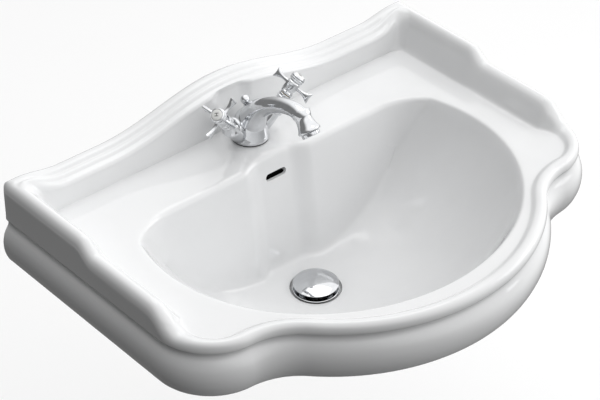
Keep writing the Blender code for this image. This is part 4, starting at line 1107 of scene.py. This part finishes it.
@dataclass
class Valve:
    """One quarter-turn valve: bonnet, spindle, discs, cross handle and its marked cap."""

    hand: str
    side: int
    body: Body
    letter: str
    turn: float
    reach: float = 0.031
    arm_height: float = 0.0685
    letter_turn: float = 1.2

    def arm(self, turn: float) -> Patch:
        """One arm: rounded sections that start thin at the hub and flare to a wide scooped end.

        The half width, which lies along the valve's axis, and the half thickness follow smooth curves
        of the distance out, and the end is drawn in by 1 - s^2 across the width s.
        """
        stops = np.array([(0.0060, 0.0040, 0.0036), (0.0095, 0.0033, 0.0031),
                          (0.0130, 0.0027, 0.0027), (0.0170, 0.0027, 0.0026),
                          (0.0210, 0.0036, 0.0028), (0.0250, 0.0053, 0.0031),
                          (0.0280, 0.0071, 0.0033), (0.0300, 0.0081, 0.0032),
                          (0.0308, 0.0080, 0.0027), (self.reach, 0.0074, 0.0018)])
        line = smooth_rows(stops, 4)
        ring = circle(32)
        shape = np.sign(ring) * np.abs(ring) ** 0.8
        scoop = 0.0018 * ease(line[:, :1], 0.024, 0.030) * (1 - shape[None, :, 1] ** 2)
        points = np.stack([
            line[:, :1] - scoop,
            line[:, 2:] * shape[None, :, 0],
            self.arm_height + line[:, 1:2] * shape[None, :, 1]], -1)
        return Patch(points).moved(Matrix.Rotation(turn, 4, "Z"))

    def handle(self, place: Matrix) -> None:
        """The hub with its rings and its four arms."""
        profile = rounded([
            (0.0033, 0.0534), (0.0084, 0.0534), (0.0094, 0.0541), (0.0098, 0.0556),
            (0.0094, 0.0570), (0.0084, 0.0578), (0.0080, 0.0590), (0.0086, 0.0604),
            (0.0096, 0.0618), (0.0099, 0.0650), (0.0099, 0.0715), (0.0095, 0.0733),
            (0.0087, 0.0742), (0.0087, 0.0750), (0.0098, 0.0758), (0.0106, 0.0770),
            (0.0100, 0.0782), (0.0103, 0.0788), (0.0111, 0.0796), (0.0111, 0.0806),
            (0.0102, 0.0812), (0.0082, 0.0811), (0.0033, 0.0745)], 0.0008, 4)
        hub = mesh_object(f"{self.hand}_cross_handle", [lathe(profile, 72).moved(place)], 50.0)
        arms = [mesh_object(f"{self.hand}_arm_tool_{k}", [
            self.arm(self.turn + k * math.pi / 2).moved(place)], 60.0) for k in range(4)]
        carve(hub, arms, Join.UNION, 50.0)
        dress(hub, Finish.CHROME, self.body, f"{self.hand}_handle")

    def cap(self, place: Matrix) -> None:
        """The porcelain button with its letter and its thin chrome ring."""
        tip = 0.0861
        profile = rounded([(1e-5, 0.0813), (0.0079, 0.0813), (0.0080, 0.0830), (0.0078, tip - 0.0011),
                           (0.0056, tip - 0.0003), (1e-5, tip - 0.0001)], 0.0008, 5, False)
        button = mesh_object(f"{self.hand}_cap_button", [lathe(profile, 64, False).moved(place)])
        dress(button, Finish.PORCELAIN, self.body, f"{self.hand}_index_cap")
        ring = lathe(rounded([(0.0080, 0.0812), (0.0098, 0.0812), (0.0106, 0.0820), (0.0104, 0.0833),
                              (0.0098, 0.0838), (0.0094, 0.0846), (0.0088, 0.0850), (0.0081, 0.0846)],
                             0.0004, 4), 72)
        bezel = mesh_object(f"{self.hand}_cap_ring", [ring.moved(place)])
        dress(bezel, Finish.CHROME, self.body)
        curve = bpy.data.curves.new(f"{self.hand}_letter", "FONT")
        curve.body = self.letter
        curve.size = 0.0080
        curve.extrude = 0.00010
        curve.align_x, curve.align_y = "CENTER", "CENTER"
        holder = bpy.data.objects.new(f"{self.hand}_letter_tool", curve)
        bpy.context.collection.objects.link(holder)
        bpy.context.view_layer.update()
        graph = bpy.context.evaluated_depsgraph_get()
        mesh = bpy.data.meshes.new_from_object(holder.evaluated_get(graph))
        bpy.data.objects.remove(holder)
        mesh.transform(place @ Matrix.Translation((0, 0, tip))
                       @ Matrix.Rotation(self.side * self.letter_turn, 4, "Z"))
        mark = bpy.data.objects.new(f"{self.hand}_letter", mesh)
        bpy.context.collection.objects.link(mark)
        dress(mark, Finish.RUBBER, self.body)

    def bonnet(self, place: Matrix) -> None:
        """The ringed cover between the casting's arm and the handle, and what it hides."""
        profile = rounded([
            (0.0128, 0.0300), (0.0138, 0.0300), (0.0144, 0.0310), (0.0142, 0.0324),
            (0.0128, 0.0338), (0.0112, 0.0356), (0.0098, 0.0385), (0.0088, 0.0425),
            (0.0086, 0.0450), (0.0096, 0.0460), (0.0100, 0.0470), (0.0096, 0.0480),
            (0.0088, 0.0488), (0.0096, 0.0500), (0.0094, 0.0524), (0.0078, 0.0528),
            (0.0076, 0.0400), (0.0100, 0.0345), (0.0128, 0.0323)], 0.0010, 4)
        cover = mesh_object(f"{self.hand}_bonnet_cover", [lathe(profile, 72).moved(place)], 50.0)
        dress(cover, Finish.CHROME, Body.ROOT, f"{self.hand}_bonnet")
        headwork = lathe(rounded([
            (0.0080, 0.0207), (0.0090, 0.0207), (0.0090, 0.0300), (0.0124, 0.0300),
            (0.0124, 0.0320), (0.0072, 0.0335), (0.0068, 0.0530), (0.0033, 0.0530),
            (0.0033, 0.0260), (0.0080, 0.0260)], 0.0003, 3), 48)
        piece = mesh_object(f"{self.hand}_headwork_body", [headwork.moved(place)])
        dress(piece, Finish.BRASS, Body.ROOT, f"{self.hand}_headwork")
        spindle = mesh_object(f"{self.hand}_spindle_bar", [lathe(rounded([
            (1e-5, 0.0207), (0.0070, 0.0207), (0.0070, 0.0235), (0.0030, 0.0240),
            (0.0030, 0.0700), (1e-5, 0.0700)], 0.0003, 3, False), 48, False).moved(place)])
        dress(spindle, Finish.BRASS, self.body, f"{self.hand}_spindle")
        screw = mesh_object(f"{self.hand}_screw_head", [lathe(rounded([
            (1e-5, 0.0705), (0.0030, 0.0705), (0.0030, 0.0752), (0.0052, 0.0772),
            (0.0052, 0.0790), (1e-5, 0.0790)], 0.0003, 3, False), 48, False).moved(place)])
        dress(screw, Finish.STEEL, self.body, f"{self.hand}_handle_screw")

    def build(self) -> None:
        """Make the valve's parts in its own frame."""
        place = valve_place(self.side)
        self.bonnet(place)
        self.handle(place)
        self.cap(place)


@dataclass
class Supply:
    """The two bent copper tails and the nuts on their ends."""

    radius: float = 0.0048
    bore: float = 0.0038
    end: Point = (0.045, -0.0710)
    low: float = -0.300

    def build(self) -> None:
        """Make a tail and a nut for each side."""
        for hand, side in (("hot", -1), ("cold", 1)):
            out_x, out_y = side * self.end[0], self.end[1]
            stops = np.array([(side * 0.0085, -0.0790, 0.0163), (side * 0.0085, -0.0790, -0.060),
                              (side * 0.0180, -0.0770, -0.105), (side * 0.0370, -0.0730, -0.150),
                              (out_x, out_y, -0.195), (out_x, out_y, self.low)])
            line = smooth_rows(stops, 12)
            outer = along(line, np.full(len(line), self.radius), circle(40), Vector((0, 1, 0)))
            inner = along(line[::-1], np.full(len(line), self.bore), circle(40) * [-1.0, 1.0],
                          Vector((0, 1, 0)))
            inside = self.matched(inner.points, outer.points)
            wall = Patch(np.concatenate([outer.points, inside]), True)
            pipe = mesh_object(f"{hand}_copper_tail", [wall], 50.0)
            dress(pipe, Finish.COPPER, Body.ROOT, f"{hand}_tail")
            place = Matrix.Translation((out_x, out_y, 0))
            piece = mesh_object(f"{hand}_fine_tail_nut", [
                nut(0.0118, 0.0052, self.low, self.low + 0.016).moved(place)], 30.0)
            dress(piece, Finish.BRASS, Body.ROOT, f"{hand}_tail_nut")

    @staticmethod
    def matched(inner: Array, outer: Array) -> Array:
        """Turn the inner loops so that their first column faces the outer grid's first column."""
        first = outer[-1, 0] - outer[-1].mean(0)
        loops = inner[0] - inner[0].mean(0)
        shift = int(np.argmax(loops @ first))
        inner = np.roll(inner, -shift, axis=1)
        probe = inner[0, 1] - inner[0].mean(0)
        same = outer[-1, 1] - outer[-1].mean(0)
        other = outer[-1, -1] - outer[-1].mean(0)
        if probe @ same < probe @ other:
            inner = np.roll(inner[:, ::-1], 1, axis=1)
        return inner


# ---- the waste -----------------------------------------------------------------------------
@dataclass
class Waste:
    """The pop-up waste: flanged body, seals, nuts, tailpiece, lift rod, lever and plug."""

    axis_y: float = -0.217
    flange_top: float = -0.1792
    pivot_y: float = -0.193
    pivot_z: float = -0.241
    barrel_end: float = -0.262
    tail_end: float = -0.322
    boss_bottom: float = -0.208
    plug_top: float = -0.1655
    tilt: float = math.radians(-7.5)
    rod_y: float = -0.0685
    strap_back: float = 0.0094
    knob_z: float = 0.0605
    knob: float = 0.0067

    def drain(self) -> None:
        """The flanged body with its side port, and the rings and nuts round it."""
        place = Matrix.Translation((0, self.axis_y, 0))
        top = self.flange_top
        profile = rounded([
            (0.0165, top - 0.006), (0.0225, top - 0.0008), (0.0325, top), (0.0336, top - 0.0008),
            (0.0325, top - 0.0016), (0.0212, -0.1828), (0.0205, -0.1850),
            (0.0205, self.barrel_end), (0.0165, self.barrel_end)], 0.0005, 4)
        body = mesh_object("drain_body", [lathe(profile, 80).moved(place)])
        side = (Matrix.Translation((0, self.axis_y, self.pivot_z))
                @ Matrix.Rotation(-math.pi / 2, 4, "X"))
        boss = mesh_object("boss_tool", [rod(0.0105, 0.0180, 0.0275).moved(side)])
        carve(body, [boss], Join.UNION)
        port = mesh_object("port_tool", [rod(0.0061, 0.0120, 0.0300).moved(side)])
        window = np.array([(-0.009, -0.030), (0.009, -0.030), (0.009, 0.030), (-0.009, 0.030)])
        slots = mesh_object("window_tool", [plate(window, -0.1965, -0.1865, 0.0004).moved(place)])
        carve(body, [port, slots], Join.CUT)
        dress(body, Finish.CHROME, Body.ROOT, "waste_body")
        under, end = self.boss_bottom, self.barrel_end
        seal = lathe(rounded([(0.0208, under - 0.0003), (0.0320, under - 0.0003),
                              (0.0320, under - 0.004), (0.0270, under - 0.007),
                              (0.0208, under - 0.007)], 0.0006, 4), 72)
        tail = lathe(rounded([(0.0145, end - 0.0003), (0.0205, end - 0.0003),
                              (0.0205, end - 0.004), (0.0160, end - 0.006),
                              (0.0160, self.tail_end), (0.0145, self.tail_end)], 0.0004, 4), 72)
        ring = lathe(rounded([(0.0050, 0.0296), (0.0128, 0.0296), (0.0128, 0.0350),
                              (0.0090, 0.0380), (0.0050, 0.0380)], 0.0006, 4), 60)
        for name, patch, finish, node, carry in (
                ("plug_side_seal", sleeve(0.0235, 0.0300, -0.1845, -0.1833), Finish.RUBBER,
                 "flange_seal", place),
                ("conical_seal", seal, Finish.RUBBER, "under_seal", place),
                ("octagon_backnut", nut(0.0330, 0.0208, -0.2250, -0.2155, 8), Finish.BRASS,
                 "backnut", place),
                ("tail_tube", tail, Finish.CHROME, "tailpiece", place),
                ("port_seal", sleeve(0.0062, 0.0095, 0.0278, 0.0292), Finish.RUBBER,
                 "pivot_seal", side),
                ("port_nut", ring, Finish.CHROME, "pivot_nut", side)):
            dress(mesh_object(name, [patch.moved(carry)], 32.0), finish, Body.ROOT, node)

    def lift(self) -> None:
        """The rod and its knob, the perforated strap, its clamp and the thumb screw."""
        place = Matrix.Translation((0, self.rod_y, 0))
        foot = self.knob_z - self.knob
        bar = mesh_object("lift_bar", [rod(0.0025, -0.178, foot - 0.0004).moved(place)])
        dress(bar, Finish.CHROME, Body.LIFT, "lift_rod")
        polar = np.linspace(0.42, math.pi - 0.0015, 40)
        ball = np.stack([self.knob * np.sin(polar), self.knob_z - self.knob * np.cos(polar)], -1)
        collar = [(1e-5, foot), (0.0031, foot), (0.0031, foot + 0.0007)]
        knob = mesh_object("round_knob", [lathe(np.vstack([collar, ball]), 64, False).moved(place)])
        dress(knob, Finish.CHROME, Body.LIFT, "lift_knob")
        self.strap(place)
        block = rounded([(-0.0055, -0.0085), (0.0055, -0.0085), (0.0055, 0.0055),
                         (-0.0055, 0.0055)], 0.001, 4)
        clamp = mesh_object("clamp_block", [plate(block, -0.172, -0.160, 0.0005).moved(place)])
        hole = mesh_object("clamp_hole_tool", [rod(0.0028, -0.18, -0.15).moved(place)])
        carve(clamp, [hole], Join.CUT)
        dress(clamp, Finish.BRASS, Body.LIFT, "strap_clamp")
        at = place @ Matrix.Translation((0, 0, -0.166)) @ Matrix.Rotation(-math.pi / 2, 4, "X")
        head = rod(0.0045, 0.0058, 0.0098, 0.0005, 96)
        points = head.points.copy()
        knurl = 1 - 0.05 * (np.arange(96) % 4 == 0)
        points[..., :2] *= knurl[None, :, None]
        screw = mesh_object("knurled_screw", [Patch(points).moved(at)])
        dress(screw, Finish.BRASS, Body.LIFT, "clamp_screw")

    def strap(self, place: Matrix) -> None:
        """The flat strap with its row of holes."""
        wide = rounded([(-0.0045, self.pivot_z - 0.046), (0.0045, self.pivot_z - 0.046),
                        (0.0045, -0.150), (-0.0045, -0.150)], 0.003, 6)
        stand = place @ Matrix.Rotation(math.pi / 2, 4, "X")
        piece = mesh_object("strap_band", [plate(wide, 0.0088, 0.0100, 0.0002).moved(stand)])
        reach = self.rod_y - self.strap_back - self.pivot_y
        end_z = self.pivot_z + reach * math.tan(self.tilt)
        holes = [mesh_object(f"strap_hole_tool_{k}", [rod(0.0034, 0.006, 0.013).moved(
            stand @ Matrix.Translation((0, end_z - 0.018 + k * 0.018, 0)))]) for k in range(4)]
        carve(piece, holes, Join.CUT)
        dress(piece, Finish.STEEL, Body.LIFT, "lift_strap")

    def lever(self) -> None:
        """The ball rod that joins the strap to the plug."""
        place = (Matrix.Translation((0, self.pivot_y, self.pivot_z))
                 @ Matrix.Rotation(self.tilt - math.pi / 2, 4, "X"))
        reach = self.rod_y - self.strap_back - self.pivot_y
        outer = reach / math.cos(self.tilt) + 0.010
        polar = np.linspace(0.42, math.pi - 0.42, 24)
        ball = np.stack([0.0056 * np.sin(polar), -0.0056 * np.cos(polar)], -1)
        profile = np.vstack([[(1e-5, -0.0262), (0.0019, -0.0262), (0.0022, -0.0258),
                              (0.0022, -0.0052)], ball,
                             [(0.0022, 0.0052), (0.0022, outer - 0.0004),
                              (0.0019, outer), (1e-5, outer)]])
        piece = mesh_object("ball_lever", [lathe(profile, 40, False).moved(place)])
        dress(piece, Finish.CHROME, Body.LEVER, "pivot_lever")

    def plug(self) -> None:
        """The domed plug with its stem and eye, and its seal."""
        place = Matrix.Translation((0, self.axis_y, 0))
        top, rim = self.plug_top, self.plug_top - 0.0055
        eye = self.pivot_z - math.tan(self.tilt) * 0.024
        share = np.linspace(0.002, 1.0, 30)
        radius = 0.0322
        dome = np.stack([radius * share, top - (top - rim) * share ** 2.1], -1)[::-1]
        under = [(1e-5, eye + 0.0075), (0.0040, eye + 0.0075), (0.0045, rim - 0.0140),
                 (0.0125, rim - 0.0120), (0.0125, rim - 0.0008), (0.0290, rim - 0.0017),
                 (0.0321, rim - 0.0013), (0.0325, rim - 0.0006)]
        turned = lathe(np.vstack([under, dome]), 96, False).moved(place)
        lid = mesh_object("domed_plug", [turned], 32.0)
        loop = rounded([(-0.0040, -0.0022), (0.0040, -0.0022), (0.0040, 0.0022),
                        (-0.0040, 0.0022)], 0.001, 4)
        stem = mesh_object("eye_tool", [plate(loop, eye - 0.0085, eye + 0.0100, 0.0006).moved(place)])
        carve(lid, [stem], Join.UNION)
        at = place @ Matrix.Translation((0, 0, eye)) @ Matrix.Rotation(math.pi / 2, 4, "X")
        carve(lid, [mesh_object("eye_hole_tool", [rod(0.0029, -0.01, 0.01).moved(at)])], Join.CUT)
        dress(lid, Finish.CHROME, Body.PLUG, "plug")
        ring = sleeve(0.0128, 0.0158, rim - 0.0052, rim - 0.0022, 0.0010)
        seal = mesh_object("plug_ring", [ring.moved(place)])
        dress(seal, Finish.RUBBER, Body.PLUG, "plug_seal")

    def build(self) -> None:
        """Make the waste and its linkage."""
        self.drain()
        self.lift()
        self.lever()
        self.plug()


@dataclass
class WallFixings:
    """The two wall bolts with their sleeves, washers and nuts."""

    bolt_x: float = 0.140
    bolt_z: float = -0.095

    def place(self, side: int) -> Matrix:
        """Frame of one bolt: its Z runs out of the wall."""
        return (Matrix.Translation((side * self.bolt_x, 0, self.bolt_z))
                @ Matrix.Rotation(math.pi / 2, 4, "X"))

    def build(self) -> None:
        """Make both sets."""
        for hand, side in (("left", -1), ("right", 1)):
            place = self.place(side)
            collar = lathe(rounded([(0.0051, 0.0005), (0.0082, 0.0005), (0.0082, 0.0123),
                                    (0.0130, 0.0123), (0.0130, 0.0143), (0.0051, 0.0143)],
                                   0.0004, 3), 48)
            for name, patch, finish, node in (
                    ("bolt", threaded(0.0048, 0.0005, 0.0340, 0.0015, 32), Finish.STEEL, "wall_bolt"),
                    ("sleeve", collar, Finish.NYLON, "bolt_sleeve"),
                    ("washer", sleeve(0.0052, 0.0120, 0.0146, 0.0164), Finish.STEEL, "bolt_washer"),
                    ("nut", nut(0.0092, 0.0053, 0.0167, 0.0247), Finish.STEEL, "bolt_nut")):
                piece = mesh_object(f"{hand}_fine_{name}", [patch.moved(place)], 30.0)
                dress(piece, finish, Body.ROOT, f"{hand}_{node}")


# ---- nodes that stay as they are -----------------------------------------------------------
KEPT_NODES: dict[str, Finish] = {
    "aerator_washer": Finish.RUBBER,
    **{f"{hand}_seat_seal": Finish.RUBBER for hand in ("hot", "cold")},
    **{f"{hand}_{disc}_disc": Finish.ALUMINA
       for hand in ("hot", "cold") for disc in ("fixed", "moving")},
}


def dress_kept(nodes: Mapping[str, bpy.types.Object]) -> None:
    """Give the nodes that stay their finishes."""
    for name, finish in KEPT_NODES.items():
        mesh = nodes[name].data
        mesh.materials.clear()
        mesh.materials.append(finish.material())
        LOG.info("%s: dressed as %s", name, finish.slot)


# ---- studio --------------------------------------------------------------------------------
@dataclass
class Studio:
    """Floor, lights, surroundings and camera."""

    target: Vector = field(default_factory=lambda: Vector((-0.0424, -0.2321, 0.0)))
    azimuth: float = math.radians(-40.95)
    elevation: float = math.radians(36.155)
    distance: float = 2.795
    lens: float = 126.0
    floor_z: float = -0.84
    bright_side: tuple[float, float, float] = (0.62, -0.18, 0.76)
    mirrored: float = 0.22
    room: tuple[float, float, float, float] = (-0.10, 0.52, 0.035, 1.16)

    def camera(self) -> None:
        """Aim a long lens at the basin."""
        back = Vector((math.sin(self.azimuth) * math.cos(self.elevation),
                       -math.cos(self.azimuth) * math.cos(self.elevation), math.sin(self.elevation)))
        lens = bpy.data.cameras.new("studio_camera")
        lens.lens = self.lens
        lens.sensor_width = 36.0
        lens.sensor_fit = "HORIZONTAL"
        holder = bpy.data.objects.new("studio_camera", lens)
        holder.location = self.target + self.distance * back
        holder.rotation_euler = back.to_track_quat("Z", "Y").to_euler()
        bpy.context.collection.objects.link(holder)
        bpy.context.scene.camera = holder

    def floor(self) -> None:
        """A wide pale floor that throws no light back up."""
        half = 9.0
        mesh = bpy.data.meshes.new("studio_floor")
        mesh.from_pydata([(-half, -half, self.floor_z), (half, -half, self.floor_z),
                          (half, half, self.floor_z), (-half, half, self.floor_z)], [], [(0, 1, 2, 3)])
        floor = bpy.data.objects.new("studio_floor", mesh)
        mesh.materials.append(Floor().make("floor_finish"))
        bpy.context.collection.objects.link(floor)
        floor.visible_diffuse = False
        floor.visible_glossy = False

    def lamp(self, name: str, place: Sequence[float], size: Point, power: float) -> None:
        """A soft box at a place, turned to the basin."""
        light = bpy.data.lights.new(name, "AREA")
        light.shape = "RECTANGLE"
        light.size, light.size_y = size
        light.energy = power
        holder = bpy.data.objects.new(name, light)
        holder.location = place
        aim = Vector(place) - Vector((0.0, -0.25, 0.0))
        holder.rotation_euler = aim.to_track_quat("Z", "Y").to_euler()
        bpy.context.collection.objects.link(holder)

    def surroundings(self) -> None:
        """A room that is light above and dark below and to the sides."""
        world = bpy.data.worlds.new("studio_room")
        bpy.context.scene.world = world
        bpy.context.scene.view_settings.view_transform = "Standard"
        world.use_nodes = True
        tree = world.node_tree
        sky = tree.nodes["Background"]
        coordinates = tree.nodes.new("ShaderNodeTexCoord")
        facing = tree.nodes.new("ShaderNodeVectorMath")
        facing.operation = "DOT_PRODUCT"
        facing.inputs[1].default_value = Vector(self.bright_side).normalized()
        ramp = tree.nodes.new("ShaderNodeMapRange")
        ramp.interpolation_type = "SMOOTHSTEP"
        for socket, value in zip(("From Min", "From Max", "To Min", "To Max"), self.room):
            ramp.inputs[socket].default_value = value
        tree.links.new(coordinates.outputs["Generated"], facing.inputs[0])
        tree.links.new(facing.outputs["Value"], ramp.inputs["Value"])
        path = tree.nodes.new("ShaderNodeLightPath")
        lift = tree.nodes.new("ShaderNodeMath")
        lift.operation = "MULTIPLY_ADD"
        lift.inputs[1].default_value = self.mirrored
        tree.links.new(path.outputs["Is Glossy Ray"], lift.inputs[0])
        tree.links.new(ramp.outputs["Result"], lift.inputs[2])
        tree.links.new(lift.outputs["Value"], sky.inputs["Color"])
        sky.inputs["Strength"].default_value = 1.0

    def build(self) -> None:
        """Set the whole studio."""
        self.camera()
        self.floor()
        self.surroundings()
        self.lamp("key_box", (0.9, 0.5, 2.6), (1.6, 1.6), 12.0)
        self.lamp("side_box", (2.2, -1.4, 0.9), (1.4, 1.4), 12.0)


def main() -> None:
    """Build the pieces in order."""
    logging.basicConfig(level=logging.INFO, format="%(name)s: %(message)s")
    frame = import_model()
    studio = Studio()
    studio.build()
    Basin().build()
    Mixer().build()
    Valve("hot", -1, Body.HOT, "H", math.radians(-12.0)).build()
    Valve("cold", 1, Body.COLD, "C", math.radians(38.0)).build()
    Supply().build()
    Waste().build()
    WallFixings().build()
    dress_kept(frame["nodes"])


if __name__ == "__main__":
    main()
